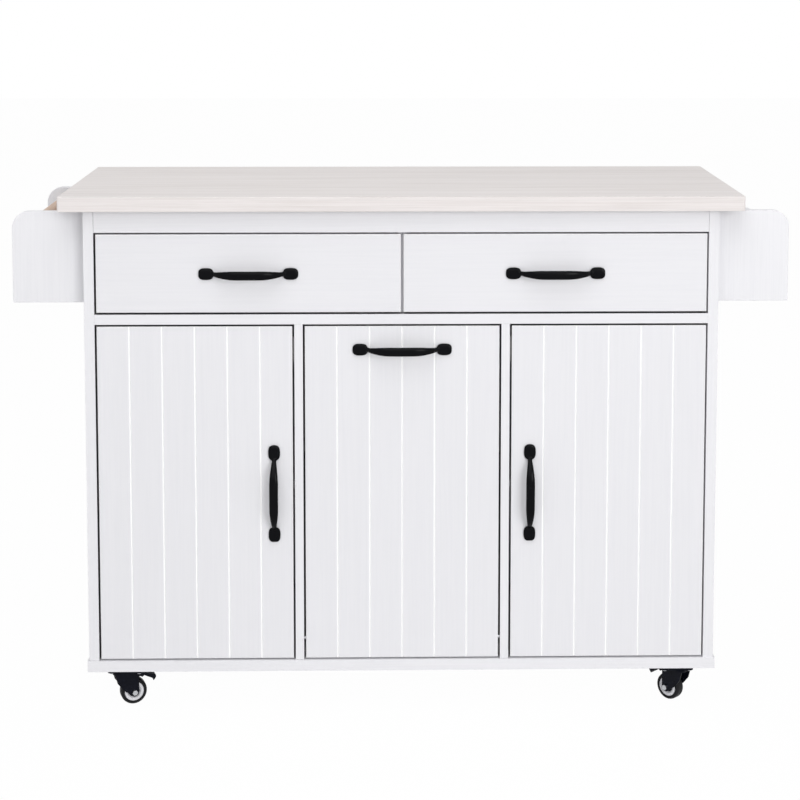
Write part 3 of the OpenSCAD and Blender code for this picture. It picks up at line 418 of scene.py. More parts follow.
class Finish:
    """A material under construction: a Principled shader fed by streaks and tints."""

    groups = {}

    def __init__(self, name, roughness, metallic=0.0, specular=0.5):
        self.material = bpy.data.materials.new(name)
        self.material.use_nodes = True
        self.tree = self.material.node_tree
        self.shader = self.tree.nodes["Principled BSDF"]
        self.shader.inputs["Roughness"].default_value = roughness
        self.shader.inputs["Metallic"].default_value = metallic
        self.shader.inputs["Specular IOR Level"].default_value = specular
        self.place = add_node(self.tree, "ShaderNodeTexCoord").outputs["Object"]
        if not Finish.groups:
            Finish.groups = {
                "streaks": streak_group(), "tint": tint_group(), "gap_shade_mask": gap_shade_group(),
            }

    def group(self, name, values):
        node = add_node(self.tree, "ShaderNodeGroup", node_tree=Finish.groups[name])
        for key, value in values.items():
            if isinstance(value, bpy.types.NodeSocket):
                self.tree.links.new(value, node.inputs[key])
            else:
                node.inputs[key].default_value = value
        return node

    def streaks(self, stretch, low=0.35, high=0.65, detail=4.0, twist=0.2):
        values = {"Place": self.place, "Stretch": stretch, "Low": low, "High": high}
        return self.group("streaks", {**values, "Detail": detail, "Twist": twist}).outputs["Mask"]

    def tint(self, colour, towards, mask, amount):
        start = colour if isinstance(colour, bpy.types.NodeSocket) else (*colour, 1)
        values = {"Colour": start, "Towards": (*towards, 1), "Mask": mask, "Amount": amount}
        return self.group("tint", values).outputs["Colour"]

    # mask of the painted shade deep in the gaps
    def gap_shade_mask(self, reach=12 * MM):
        return self.group("gap_shade_mask", {"Reach": reach}).outputs["Mask"]

    def colour(self, socket):
        self.tree.links.new(socket, self.shader.inputs["Base Color"])

    def rough(self, mask, low, high):
        """Roughness between two values, by a mask."""
        spread = add_node(self.tree, "ShaderNodeMapRange")
        spread.inputs["To Min"].default_value = low
        spread.inputs["To Max"].default_value = high
        self.tree.links.new(mask, spread.inputs["Value"])
        self.tree.links.new(spread.outputs["Result"], self.shader.inputs["Roughness"])

    def bump(self, height, strength, distance):
        node = add_node(self.tree, "ShaderNodeBump")
        node.inputs["Strength"].default_value = strength
        node.inputs["Distance"].default_value = distance
        self.tree.links.new(height, node.inputs["Height"])
        self.tree.links.new(node.outputs["Normal"], self.shader.inputs["Normal"])


# ------------------------------------------------------------------ finishes

# Waves of the foil's grain in a metre, along X, Y and Z
UPRIGHT_GRAIN = (260, 260, 7)
LEVEL_GRAIN = (7, 260, 260)
DEEP_GRAIN = (260, 7, 260)


def painted_board(name, colour, streak, grain, amount=0.3, painted_gap_shade=None):
    """White foil with a faint grain along the board. Given a shade colour, it also gets painted shade deep in the
    gaps.
    """
    finish = Finish(name, roughness=0.42, specular=0.4)
    fine = finish.streaks(grain, low=0.42, high=0.62, detail=5)
    broad = finish.streaks(tuple(side / 9 for side in grain), low=0.3, high=0.7, detail=2)
    base = finish.tint(colour, streak, fine, amount)
    base = finish.tint(base, streak, broad, amount * 0.4)
    if painted_gap_shade is not None:
        # painted shade: the paint turns to the shade colour deep in narrow gaps
        base = finish.tint(base, painted_gap_shade, finish.gap_shade_mask(), 0.95)
    finish.colour(base)
    finish.rough(fine, low=0.38, high=0.50)
    finish.bump(fine, strength=0.12, distance=0.15 * MM)
    return finish.material


def whitewashed_wood(name, settings):
    """Pale worktop: broad light bands and fine light lines under dark grain and pores, along X."""
    finish = Finish(name, roughness=0.5, specular=0.35)
    bands = finish.streaks((1.3, 34, 34), low=0.36, high=0.68, detail=3, twist=0.5)
    grain = finish.streaks((3.2, 190, 190), low=0.50, high=0.78, detail=6, twist=0.35)
    pores = finish.streaks((24, 900, 900), low=0.60, high=0.72, detail=2, twist=0)
    lines = finish.streaks((4, 330, 330), low=0.42, high=0.58, detail=3)
    base = finish.tint(settings.worktop, settings.worktop_light, bands, 0.6)
    base = finish.tint(base, settings.worktop_light, lines, 0.6)
    base = finish.tint(base, settings.worktop_dark, grain, 0.5)
    finish.colour(finish.tint(base, settings.worktop_dark, pores, 0.30))
    finish.rough(grain, low=0.45, high=0.58)
    finish.bump(grain, strength=0.15, distance=0.15 * MM)
    return finish.material


def bare_wood(name, colour, grain_colour, grain, roughness=0.5):
    """Bare or lacquered wood with grain along the longest way of the board."""
    finish = Finish(name, roughness, specular=0.35)
    rings = finish.streaks(tuple(side / 5 for side in grain), low=0.38, high=0.66, detail=3, twist=0.6)
    fine = finish.streaks(grain, low=0.45, high=0.75, detail=6, twist=0.3)
    base = finish.tint(colour, grain_colour, rings, 0.40)
    finish.colour(finish.tint(base, grain_colour, fine, 0.45))
    finish.rough(fine, low=roughness - 0.06, high=roughness + 0.08)
    finish.bump(fine, strength=0.2, distance=0.15 * MM)
    return finish.material


def black_coat(name, colour, roughness, specular):
    """Black coating on metal: slightly uneven gloss and a faint orange peel."""
    finish = Finish(name, roughness, specular=specular)
    peel = finish.streaks((420, 420, 420), low=0.3, high=0.7, detail=3, twist=0)
    patches = finish.streaks((60, 60, 60), low=0.35, high=0.7, detail=3, twist=0.2)
    finish.colour(finish.tint(colour, tuple(2 * part for part in colour), patches, 0.35))
    finish.rough(patches, low=roughness * 0.8, high=roughness * 1.25)
    finish.bump(peel, strength=0.08, distance=0.08 * MM)
    return finish.material


def plated_steel(name, colour, roughness):
    """Zinc-plated steel with fine drawn lines and cloudy plating."""
    finish = Finish(name, roughness, metallic=1.0)
    lines = finish.streaks((30, 30, 900), low=0.35, high=0.65, detail=3, twist=0)
    clouds = finish.streaks((90, 90, 90), low=0.3, high=0.7, detail=3, twist=0.3)
    finish.colour(finish.tint(colour, tuple(0.6 * part for part in colour), clouds, 0.35))
    finish.rough(clouds, low=roughness * 0.8, high=roughness * 1.4)
    finish.bump(lines, strength=0.06, distance=0.05 * MM)
    return finish.material


def soft_black_rubber(name, colour):
    """Tyre rubber: matte, with a dusty bloom."""
    finish = Finish(name, roughness=0.55, specular=0.15)
    bloom = finish.streaks((130, 130, 130), low=0.4, high=0.75, detail=4, twist=0.3)
    finish.colour(finish.tint(colour, tuple(3 * part for part in colour), bloom, 0.4))
    finish.rough(bloom, low=0.45, high=0.68)
    finish.bump(bloom, strength=0.1, distance=0.1 * MM)
    return finish.material


def moulded_plastic(name, colour, roughness=0.35):
    finish = Finish(name, roughness, specular=0.45)
    texture = finish.streaks((300, 300, 300), low=0.3, high=0.7, detail=3, twist=0)
    finish.colour(finish.tint(colour, tuple(0.86 * part for part in colour), texture, 0.3))
    finish.rough(texture, low=roughness * 0.9, high=roughness * 1.2)
    finish.bump(texture, strength=0.06, distance=0.06 * MM)
    return finish.material


def finishes(context):
    """All materials by name, made once."""
    store = finishes.store
    if not store:
        colours = context.scene.island_finish
        paint, streak, painted_gap_shade = colours.paint, colours.paint_streak, colours.painted_gap_shade
        for name, grain in (("upright", UPRIGHT_GRAIN), ("level", LEVEL_GRAIN)):
            label = "paint_" + name
            store[name] = painted_board(label, paint, streak, grain)
            # the _gap copies carry painted shade deep in the gaps
            store[name + "_gap"] = painted_board(label + "_gap", paint, streak, grain, painted_gap_shade=painted_gap_shade)
            # the fronts get the darker copy of the white: painted shade
            store["front_" + name] = painted_board(
                "paint_shaded_front_" + name, colours.shaded_front_paint, streak, grain
            )
        store["deep"] = painted_board("paint_deep", paint, streak, DEEP_GRAIN)
        store["rack"] = painted_board("paint_rack", paint, streak, UPRIGHT_GRAIN, amount=0.35)
        # groove paint: whiter than the foil, partly a painted highlight along the grooves
        store["routed"] = painted_board(
            "paint_routed", colours.routed_paint, paint, UPRIGHT_GRAIN, amount=0.15
        )
        store["worktop"] = whitewashed_wood("whitewashed_wood", colours)
        store["rail_wood"] = bare_wood("rail_wood", colours.rail_wood, colours.rail_grain, DEEP_GRAIN)
        store["box_wood"] = bare_wood(
            "box_wood", colours.box_wood, colours.box_grain, LEVEL_GRAIN, roughness=0.4
        )
        store["handle"] = black_coat("handle_gloss", colours.handle, roughness=0.22, specular=0.07)
        store["black_steel"] = black_coat("black_steel", colours.black_steel, roughness=0.32, specular=0.09)
        store["zinc"] = plated_steel("plated_steel", colours.zinc, roughness=0.28)
        store["tyre"] = soft_black_rubber("tyre_rubber", colours.tyre)
        store["hub"] = moulded_plastic("hub_plastic", colours.hub)
        store["plastic"] = moulded_plastic("catch_plastic", colours.plastic, roughness=0.45)
    return store


finishes.store = {}


# ------------------------------------------------------------------ boards and fronts

# Boards by finish. A finish that ends in _gap has painted shade deep in the gaps round the fronts.
BOARDS = {
    "upright_gap": ("side_panel_left", "partitions"),
    "upright": ("side_panel_right", "back_panel", "drawer_divider"),
    "rack": ("towel_rack_ends", "spice_rack_ends"),
    "level_gap": ("drawer_deck",),
    "level": ("base_panel", "top_rails", "shelves", "bin_stops"),
    "deep": ("spice_rack_floor", "spice_rack_guard"),
    "worktop": ("worktop", "drop_leaf"),
}


class ISLAND_OT_boards(bpy.types.Operator):
    """Round the boards' edges and give them their paint and wood"""

    bl_idname = "island.boards"
    bl_label = "Boards"

    def execute(self, context):
        stock = finishes(context)
        sizes = context.scene.island_sizes
        for finish, nodes in BOARDS.items():
            edge = sizes.front_edge if finish.endswith("_gap") else sizes.board_edge
            for node in nodes:
                eased_copy(node, edge, [stock[finish]])
        return {"FINISHED"}


# material numbers of a front: its paint, the groove paint with its painted highlight, and the paint with painted
# shade in the gaps
FACE, GROOVE_PAINT_HIGHLIGHT, GAP = range(3)
MIDDLE_BAND = 10 * MM  # sides closer than this to the island's middle line get no painted shade
RIGHT_END = 450 * MM  # nor have sides farther right than this


def front_faces(shaded_end):
    """Chooser of a front's faces: FACE for its flat face, the groove number where it slants to the front, as in a
    groove, and GAP, the finish with painted shade, on the sides. Of its top and bottom only the shaded end, +1 or
    -1, is GAP, and the sides beside the island's middle line and at its right end are FACE.
    """

    def choose(centres, normals):
        to_front = -normals[:, 1]
        x = centres[:, 0]
        side = (np.abs(normals[:, 0]) > SQUARE_ON) & (np.abs(x) > MIDDLE_BAND) & (x < RIGHT_END)
        end = normals[:, 2] * shaded_end > SQUARE_ON
        # groove walls that slant to the front take the whiter groove paint, partly a painted highlight
        slants = (to_front > 0.3) & (to_front < 0.95)
        return np.select([side | end, slants], [GAP, GROOVE_PAINT_HIGHLIGHT], FACE)

    return choose


class ISLAND_OT_fronts(bpy.types.Operator):
    """Finish the doors, the bin front and the drawer fronts"""

    bl_idname = "island.fronts"
    bl_label = "Fronts"

    def execute(self, context):
        stock = finishes(context)
        sizes = context.scene.island_sizes
        for grain, shaded_end, nodes in (
            ("upright", 1, ("door_left", "door_right", "bin_front")),
            ("level", -1, ("drawer_left_front", "drawer_right_front")),
        ):
            # front paint, groove paint with its painted highlight, and the paint with painted shade for the gap
            # sides
            materials = [stock["front_" + grain], stock["routed"], stock[grain + "_gap"]]
            for node in nodes:
                chooser = front_faces(shaded_end)
                eased_copy(node, sizes.front_edge, materials, chooser, sizes.gap_inset)
        return {"FINISHED"}


class ISLAND_OT_boxes(bpy.types.Operator):
    """Finish the drawer boxes, the bin holder and the towel rail"""

    bl_idname = "island.boxes"
    bl_label = "Boxes and rail"

    def execute(self, context):
        stock = finishes(context)
        edge = context.scene.island_sizes.board_edge
        for node in ("drawer_left_box", "drawer_right_box", "bin_holder"):
            eased_copy(node, edge, [stock["box_wood"]])
        eased_copy("towel_rail", edge, [stock["rail_wood"]])
        return {"FINISHED"}


# ------------------------------------------------------------------ handles

HANDLES = {
    "drawer_left_handle": "drawer_left_front",
    "drawer_right_handle": "drawer_right_front",
    "door_left_handle": "door_left",
    "door_right_handle": "door_right",
    "bin_handle": "bin_front",
}
HANDLE_STATIONS = 221  # sections along a handle
HANDLE_AROUND = 44  # points round each section
BOW_FALL = 3.4  # power with which the bow falls towards its feet
BOW_SECTION = 2.5  # power of the bow's sections, as superellipses
FOOT_SECTION = 3.6  # power of the feet's sections
FOOT_OUTLINE = 2.8  # power of a foot's outline, seen from the front
FOOT_RISE = (7, 2.5)  # powers of a foot's rise from its two ends to its top
FOOT_DOME = 0.18  # how far a foot's top falls to its sides, as a share of its height
NECK_HEIGHT = 7 * MM  # height of the bow's middle line where it meets a foot
NECK_BLEND = 0.8 * MM  # softness of the outline where the bow meets a foot
RIDGE_WIDTH = 0.62  # half width of the ridge on a foot, as a share of the neck's width
RIDGE_BLEND = 1.2 * MM  # softness of the meeting of ridge and foot


def soft_max(a, b, blend):
    """The larger of two arrays, with a smooth change-over of the given width."""
    return 0.5 * (a + b + np.sqrt((a - b) ** 2 + blend * blend))


def soft_step(distance, width):
    """0 before a place and 1 past it: 1 / (1 + e^(-distance / width))."""
    return 1 / (1 + np.exp(-distance / width))


def bow_handle_points(length, foot_width, reach, sizes):
    """Points of a bow handle that lies along X with its feet on Z = 0.

    Each section across the handle is a superellipse. Its half width follows a rounded foot
    at each end and a bow that swells to its middle. Its height runs from the foot's flat
    base, or the bow's underside, up to the foot's top or the bow's back, which falls as a
    power of the distance from the middle. On the feet a ridge carries the bow down.
    """
    half = length / 2
    foot = sizes.foot_length
    foot_start = half - foot
    t = np.linspace(-1, 1, HANDLE_STATIONS)[:, None]
    x = half * np.sin(t * math.pi / 2)
    s = np.abs(x)
    u = np.linspace(0, 2 * math.pi, HANDLE_AROUND, endpoint=False)[None, :]

    in_foot = np.clip((s - half + foot / 2) / (foot / 2), -1, 1)
    outline = np.maximum(1 - np.abs(in_foot) ** FOOT_OUTLINE, 0) ** (1 / FOOT_OUTLINE)
    foot_half = foot_width / 2 * outline
    swell = np.clip(1 - s / foot_start, 0, 1)
    swell = np.sin(np.minimum(swell * 1.5, 1) * math.pi / 2)
    bow_half = (sizes.neck_width + (sizes.bow_width - sizes.neck_width) * swell) / 2
    bow_half = bow_half * (s < half - foot / 2)
    half_width = np.where(s < half - foot / 2, soft_max(foot_half, bow_half, NECK_BLEND), foot_half)

    middle = reach - sizes.bow_thickness / 2
    line = middle - (middle - NECK_HEIGHT) * np.clip(s / foot_start, 0, 1.6) ** BOW_FALL
    under = np.maximum(line - sizes.bow_thickness / 2, 0)
    under = under * np.clip((foot_start - 0.5 * MM - s) / (4 * MM), 0, 1)
    back = line + sizes.bow_thickness / 2 * (0.86 + 0.14 * swell)

    power = BOW_SECTION + (FOOT_SECTION - BOW_SECTION) * soft_step(s - foot_start, 1.2 * MM)
    across = np.sign(np.cos(u)) * np.abs(np.cos(u)) ** (2 / power)
    upward = np.sign(np.sin(u)) * np.abs(np.sin(u)) ** (2 / power)
    y = half_width * across
    rim = np.maximum(1 - np.abs(in_foot) ** FOOT_RISE[0], 0) ** (1 / FOOT_RISE[1])
    dome = 1 - FOOT_DOME * (y / (foot_width / 2)) ** 2
    foot_top = sizes.foot_height * rim * dome
    ridge = np.clip(back, 0, None) * np.exp(-((y / (RIDGE_WIDTH * sizes.neck_width)) ** 2) ** 1.5)
    fade = np.clip((half - foot * 0.42 - s) / (foot * 0.3), 0, 1)
    foot_top = soft_max(foot_top, ridge * fade, RIDGE_BLEND) - 0.35 * MM * rim
    merge = soft_step(s - foot_start, 1.1 * MM)
    top = back * (1 - merge) + foot_top * merge
    z = under + (top - under) * (1 + upward) / 2
    x = np.broadcast_to(x, y.shape)
    return np.stack([x, y, np.maximum(z, 0)], axis=-1)


class ISLAND_OT_handles(bpy.types.Operator):
    """Build the five bow handles on their fronts"""

    bl_idname = "island.handles"
    bl_label = "Handles"

    def execute(self, context):
        sizes = context.scene.island_sizes
        material = finishes(context)["handle"]
        for node, front in HANDLES.items():
            low, high = (np.array(corner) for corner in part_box(node))
            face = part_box(front)[0][1]
            size = high - low
            upright = size[2] > size[0]
            length, width = (size[2], size[0]) if upright else (size[0], size[2])
            points = bow_handle_points(length, width, face - low[1], sizes)
            along, across, out = points[..., 0], points[..., 1], points[..., 2]
            middle = (low + high) / 2
            place = (across, along) if upright else (along, across)
            world = np.stack([middle[0] + place[0], face - out, middle[2] + place[1]], axis=-1)
            mesh = mesh_from_grid(node + "_bow", world)
            smooth_shade(mesh)
            add_piece(node + "_bow", mesh, [material], NODE_BODY[node], [node])
        return {"FINISHED"}


# ------------------------------------------------------------------ casters

WHEEL_STEPS = 96
CORNER_STEPS = 5
RIM_SHARE = 0.732  # radius of the tyre's inner edge, as a share of the wheel's radius
RING_SHARE = 0.463  # the same for the pale ring's inner edge
BOLT_OUT = 14.05 * MM  # the bolt heads lie farther than this from the wheel's middle plane
BOLT_REACH = 20 * MM  # and within this of the wheel's centre
HEAD_SPAN = 10 * MM  # points of one screw head lie within this of each other
RECESS_HALF = 0.13  # half width of a cross recess's bars, as a share of the head's radius
RECESS_REACH = 0.56  # their reach from the middle, as a share of the same
RECESS_DEPTH = 0.45  # their depth, as a share of the head's height


def rounded_profile(corners, radius):
    """Polyline with its inner corners rounded by quadratic curves that start a radius away."""
    corners = np.asarray(corners, dtype=float)
    before, at, after = corners[:-2], corners[1:-1], corners[2:]
    to_before, to_after = before - at, after - at
    len_before = np.linalg.norm(to_before, axis=1, keepdims=True)
    len_after = np.linalg.norm(to_after, axis=1, keepdims=True)
    start = at + to_before / len_before * np.minimum(radius, len_before * 0.48)
    end = at + to_after / len_after * np.minimum(radius, len_after * 0.48)
    t = np.linspace(0, 1, CORNER_STEPS)[None, :, None]
    curve = (1 - t) ** 2 * start[:, None] + 2 * t * (1 - t) * at[:, None] + t**2 * end[:, None]
    return np.vstack([corners[:1], curve.reshape(-1, corners.shape[1]), corners[-1:]])


def turned(name, profile, centre, axis):
    """Surface of revolution: the profile's [radius, distance along the axis], swept round it."""
    axis = np.array(axis) / np.linalg.norm(axis)
    side = np.cross(axis, (0, 0, 1) if abs(axis[2]) < 0.9 else (1, 0, 0))
    side /= np.linalg.norm(side)
    other = np.cross(axis, side)
    angle = np.linspace(0, 2 * math.pi, WHEEL_STEPS, endpoint=False)
    spoke = np.cos(angle)[:, None] * side + np.sin(angle)[:, None] * other
    points = np.array(centre) + profile[:, None, :1] * spoke + profile[:, None, 1:] * axis
    return mesh_from_grid(name, points)


def closed_ring(half_profile, radius):
    """Closed profile of a part that is the same on both sides of the wheel's middle plane."""
    mirrored = [(r, -h) for r, h in reversed(half_profile) if h]
    return rounded_profile([*half_profile, *mirrored, half_profile[0]], radius)


def wheel_profiles(radius, half, hub_half, bore):
    """Half profiles of tyre, pale ring and hub, as (radius, half width), from the tread inwards."""
    rim = radius * RIM_SHARE
    ring_in = radius * RING_SHARE
    tyre = [
        (rim, 0.0), (rim, half - 1.3 * MM), (rim + 0.8 * MM, half - 1.2 * MM),
        (rim + 1.5 * MM, half - 0.1 * MM), (radius - 2.6 * MM, half), (radius - 0.7 * MM, half - 2 * MM),
        (radius, half - 5 * MM), (radius, 0.0),
    ]
    ring = [
        (ring_in - 1 * MM, 0.0), (ring_in - 1 * MM, half - 2.6 * MM), (ring_in, half - 2.3 * MM),
        (ring_in + 0.8 * MM, half - 0.7 * MM), ((rim + ring_in) / 2, half - 0.3 * MM),
        (rim - 0.7 * MM, half - 0.6 * MM), (rim, half - 1.4 * MM), (rim, 0.0),
    ]
    hub = [
        (bore, 0.0), (bore, hub_half), (bore + 3 * MM, hub_half),
        (bore + 4.2 * MM, half - 2.6 * MM), (ring_in - 1 * MM, half - 3 * MM), (ring_in - 1 * MM, 0.0),
    ]
    return {"tyre": tyre, "ring": ring, "hub": hub}


def screw_head(name, centre, radius, height):
    """Pan head that faces down, with a cross recess.

    Height over the disc is a flat dome, (1 - (r / R)^6)^(1/3), less the recess, which is
    deep where either of two bars crosses the middle.
    """
    rings = np.concatenate([np.linspace(0, 0.8, 15), [0.86, 0.92, 0.96, 0.985, 1.0, 1.0]])
    angle = np.linspace(0, 2 * math.pi, 40, endpoint=False)
    r = rings[:, None]
    x, y = r * np.cos(angle), r * np.sin(angle)
    dome = np.maximum(1 - r**6, 0) ** (1 / 3)
    bar_x = (np.abs(y) < RECESS_HALF) & (np.abs(x) < RECESS_REACH)
    bar_y = (np.abs(x) < RECESS_HALF) & (np.abs(y) < RECESS_REACH)
    depth = np.where(bar_x | bar_y, RECESS_DEPTH, 0.0)
    z = (np.broadcast_to(dome, x.shape) - depth) * height
    z[-1] = 0
    top = np.array(centre)
    points = np.stack([top[0] + radius * x, top[1] + radius * y, top[2] - z], axis=-1)
    rim = points[-1:].copy()
    rim[..., :2] = top[:2]
    return mesh_from_grid(name, np.vstack([points, rim]))


class ISLAND_OT_casters(bpy.types.Operator):
    """Build the wheels and screw heads and finish the forks, plates and brake pedals"""

    bl_idname = "island.casters"
    bl_label = "Casters"

    def execute(self, context):
        stock = finishes(context)
        edge = context.scene.island_sizes.steel_edge
        for corner in CORNERS:
            self.wheel(corner, stock)
            self.fork(corner, stock, edge)
            eased_copy("brake_" + corner, edge, [stock["black_steel"]])
        eased_copy("caster_plates", edge, [stock["black_steel"]])
        self.screws(stock)
        return {"FINISHED"}

    def wheel(self, corner, stock):
        """Tyre, pale ring and hub, as large round and along the axle as the plain wheel."""
        node = "wheel_" + corner
        joint = JOINTS[corner + "_wheel_spin"]
        centre, axis = np.array(joint["pos_m"]), np.array(joint["axis"])
        off = node_points(node) - centre
        along = off @ axis
        out = np.linalg.norm(off - along[:, None] * axis, axis=1)
        along = np.abs(along)
        radius = out.max()
        half = along[out > 0.8 * radius].max()
        profiles = wheel_profiles(radius, half, along.max(), out.min())
        finish = {"tyre": stock["tyre"], "ring": stock["hub"], "hub": stock["black_steel"]}
        for name, half_profile in profiles.items():
            outline = closed_ring(half_profile, 0.7 * MM)
            mesh = turned(name + "_" + corner, outline, centre, axis)
            smooth_shade(mesh, sharp_deg=35)
            replaced = [node] if name == "tyre" else []
            add_piece(
                name + "_" + corner, mesh, [finish[name]], NODE_BODY[node], replaced
            )

    def fork(self, corner, stock, edge):
        """The bolt heads, outside the fork's legs, are plated."""
        joint = JOINTS[corner + "_wheel_spin"]
        centre, axis = np.array(joint["pos_m"]), np.array(joint["axis"])

        def bolt_faces(centres, normals):
            off = centres - centre
            beside = np.abs(off @ axis)
            return ((beside > BOLT_OUT) & (np.linalg.norm(off, axis=1) < BOLT_REACH)).astype(int)

        eased_copy("fork_" + corner, edge, [stock["black_steel"], stock["zinc"]], bolt_faces)

    def screws(self, stock):
        """Domed heads under the plates, at the places of the plain ones."""
        node = "caster_screws"
        points = node_points(node)
        low, plate = np.unique(np.round(points[:, 2], 5))[:2]
        left = points[points[:, 2] < low + 0.1 * MM][:, :2]
        heads = []
        while len(left):
            near = np.linalg.norm(left - left[0], axis=1) < HEAD_SPAN
            first, last = left[near].min(axis=0), left[near].max(axis=0)
            radius = (last - first).max() / 2
            heads.append(screw_head("head", (*(first + last) / 2, plate), radius, plate - low))
            left = left[~near]
        joined = join_meshes("caster_screw_heads", heads)
        smooth_shade(joined, sharp_deg=40)
        add_piece("caster_screw_heads", joined, [stock["zinc"]], "cabinet", [node])


# ------------------------------------------------------------------ hardware

STEEL_NODES = (
    "drawer_runner_channels", "drawer_left_slides", "drawer_right_slides", "door_hinge_arms",
    "door_left_hardware", "door_right_hardware", "leaf_hinge_plates", "leaf_hinge_flaps",
    "shelf_pins", "bin_pivot_pins", "bin_strikes",
)
BLACK_NODES = ("brace_wall_plates", "brace_rests", "brace_left", "brace_right")


class ISLAND_OT_hardware(bpy.types.Operator):
    """Finish the hinges, runners, braces, pins and catches"""

    bl_idname = "island.hardware"
    bl_label = "Hardware"

    def execute(self, context):
        stock = finishes(context)
        edge = context.scene.island_sizes.steel_edge
        for node in STEEL_NODES:
            eased_copy(node, edge, [stock["zinc"]])
        for node in BLACK_NODES:
            eased_copy(node, edge, [stock["black_steel"]])
        eased_copy("magnet_catches", edge, [stock["plastic"]])
        return {"FINISHED"}


# ------------------------------------------------------------------ stage

AIM = (0, 0, 0.5)  # point that the lamps are turned to
LAMPS = {  # place and side of each square lamp
    "key": ((3.2, -6.3, 2.2), 3.0),
    "fill": ((-1.0, -5.6, 4.0), 4.0),
    "top": ((-0.2, -1.4, 3.9), 3.0),
}
FLOOR_REACH = 14.0
FLOOR_WHITE = 0.982  # share of plain white in what the camera sees of the floor
FRAME_WIDTH = 36  # width of the camera's frame, in millimetres
SIGHT = 60  # how far the camera sees


def area_light(name, place, size, power):
    """Square light at a place, turned towards the island."""
    data = bpy.data.lights.new(name, "AREA")
    data.shape = "SQUARE"
    data.size = size
    data.energy = power
    light = bpy.data.objects.new(name, data)
    light.location = place
    light.rotation_euler = (Vector(AIM) - Vector(place)).to_track_quat("-Z", "Y").to_euler()
    bpy.context.scene.collection.objects.link(light)


def seen_by_eye(tree, otherwise, seen):
    """Value for rays from the camera, in reflections and through glass, and one for the rest."""
    path = add_node(tree, "ShaderNodeLightPath")
    spread = add_node(tree, "ShaderNodeMapRange")
    spread.inputs["To Min"].default_value = otherwise
    spread.inputs["To Max"].default_value = seen
    value = path.outputs["Is Camera Ray"]
    for ray in ("Is Glossy Ray", "Is Transmission Ray"):
        either = add_node(tree, "ShaderNodeMath", operation="MAXIMUM")
        tree.links.new(value, either.inputs[0])
        tree.links.new(path.outputs[ray], either.inputs[1])
        value = either.outputs[0]
    tree.links.new(value, spread.inputs["Value"])
    return spread.outputs["Result"]


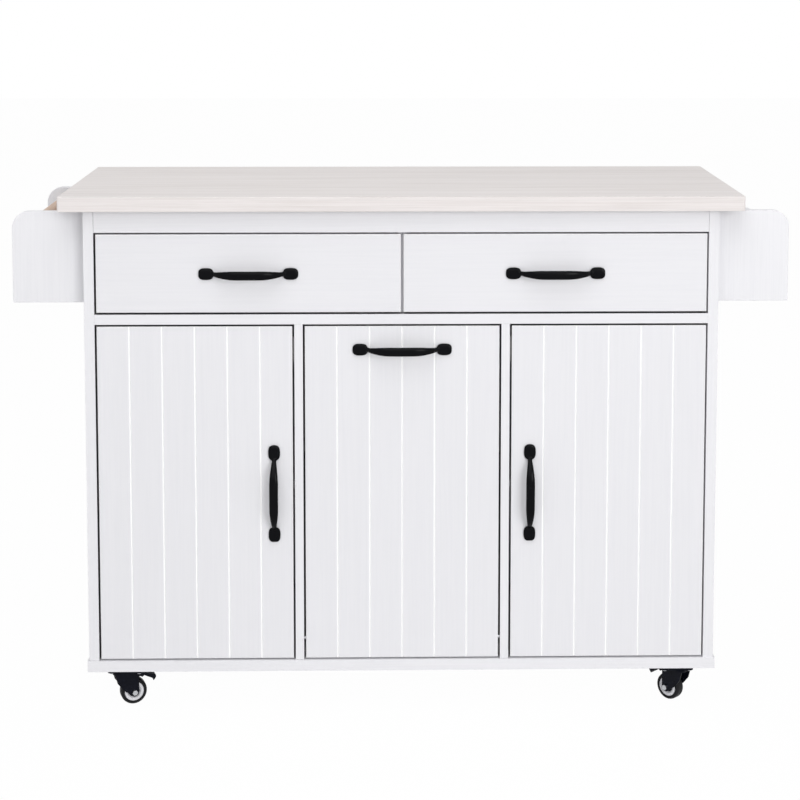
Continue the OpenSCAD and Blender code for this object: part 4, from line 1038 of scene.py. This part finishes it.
class ISLAND_OT_stage(bpy.types.Operator):
    """Set up the floor, the light and the camera of the photograph"""

    bl_idname = "island.stage"
    bl_label = "Stage"

    def execute(self, context):
        stage = context.scene.island_stage
        context.scene.view_settings.view_transform = "Standard"
        self.camera(context.scene, stage)
        self.floor()
        self.world(context.scene, stage)
        powers = {"key": stage.key_power, "fill": stage.fill_power, "top": stage.top_power}
        for name, (place, size) in LAMPS.items():
            area_light(name, place, size, powers[name])
        return {"FINISHED"}

    def camera(self, scene, stage):
        data = bpy.data.cameras.new("camera")
        data.sensor_width = FRAME_WIDTH
        data.lens = stage.focal_px * data.sensor_width / stage.frame_px
        data.shift_x = (stage.frame_px / 2 - stage.centre_px[0]) / stage.frame_px
        data.shift_y = (stage.centre_px[1] - stage.frame_px / 2) / stage.frame_px
        data.clip_end = SIGHT
        camera = bpy.data.objects.new("camera", data)
        level = math.pi / 2 - stage.camera_pitch
        turn = Matrix.Rotation(stage.camera_yaw, 3, "Z") @ Matrix.Rotation(level, 3, "X")
        turn = turn @ Matrix.Rotation(stage.camera_roll, 3, "Z")
        camera.rotation_euler = turn.to_euler()
        camera.location = stage.camera_place
        scene.collection.objects.link(camera)
        scene.camera = camera

    def floor(self):
        """Pale floor. The camera and reflections see it white, with a faint shadow left."""
        ends = (-FLOOR_REACH, FLOOR_REACH)
        points = np.array([[[x, y, 0] for x in ends] for y in ends])
        mesh = mesh_from_grid("floor", points, close_around=False)
        floor = bpy.data.objects.new("floor", mesh)
        bpy.context.scene.collection.objects.link(floor)
        material = bpy.data.materials.new("floor")
        material.use_nodes = True
        tree = material.node_tree
        plain = tree.nodes["Principled BSDF"]
        plain.inputs["Base Color"].default_value = (0.86, 0.86, 0.86, 1)
        plain.inputs["Roughness"].default_value = 0.9
        plain.inputs["Specular IOR Level"].default_value = 0.1
        glow = add_node(tree, "ShaderNodeEmission")
        glow.inputs["Strength"].default_value = 1
        mix = add_node(tree, "ShaderNodeMixShader")
        link = tree.links.new
        link(seen_by_eye(tree, 0, FLOOR_WHITE), mix.inputs["Fac"])
        link(plain.outputs[0], mix.inputs[1])
        link(glow.outputs[0], mix.inputs[2])
        link(mix.outputs[0], tree.nodes["Material Output"].inputs["Surface"])
        mesh.materials.append(material)

    def world(self, scene, stage):
        """Even room light, which the camera and reflections see as white."""
        world = bpy.data.worlds.new("room")
        world.use_nodes = True
        scene.world = world
        tree = world.node_tree
        background = tree.nodes["Background"]
        background.inputs["Color"].default_value = (1, 1, 1, 1)
        tree.links.new(seen_by_eye(tree, stage.room, 1), background.inputs["Strength"])


# ------------------------------------------------------------------ add-on


class ISLAND_PT_panel(bpy.types.Panel):
    """Steps that finish the island, in order"""

    bl_idname = "ISLAND_PT_panel"
    bl_label = "Kitchen Island"
    bl_space_type = "VIEW_3D"
    bl_region_type = "UI"
    bl_category = "Island"

    def draw(self, context):
        column = self.layout.column(align=True)
        for step in STEPS:
            column.operator(step.bl_idname)


STEPS = (
    ISLAND_OT_stage, ISLAND_OT_boards, ISLAND_OT_fronts, ISLAND_OT_boxes, ISLAND_OT_handles,
    ISLAND_OT_casters, ISLAND_OT_hardware,
)
CLASSES = (IslandFinish, IslandSizes, IslandStage, *STEPS, ISLAND_PT_panel)


def register():
    for each in CLASSES:
        bpy.utils.register_class(each)
    bpy.types.Scene.island_finish = bpy.props.PointerProperty(type=IslandFinish)
    bpy.types.Scene.island_sizes = bpy.props.PointerProperty(type=IslandSizes)
    bpy.types.Scene.island_stage = bpy.props.PointerProperty(type=IslandStage)


def unregister():
    del bpy.types.Scene.island_finish
    del bpy.types.Scene.island_sizes
    del bpy.types.Scene.island_stage
    for each in reversed(CLASSES):
        bpy.utils.unregister_class(each)


def main():
    register()
    for step in STEPS:
        group, name = step.bl_idname.split(".")
        getattr(getattr(bpy.ops, group), name)()


if __name__ == "__main__":
    main()
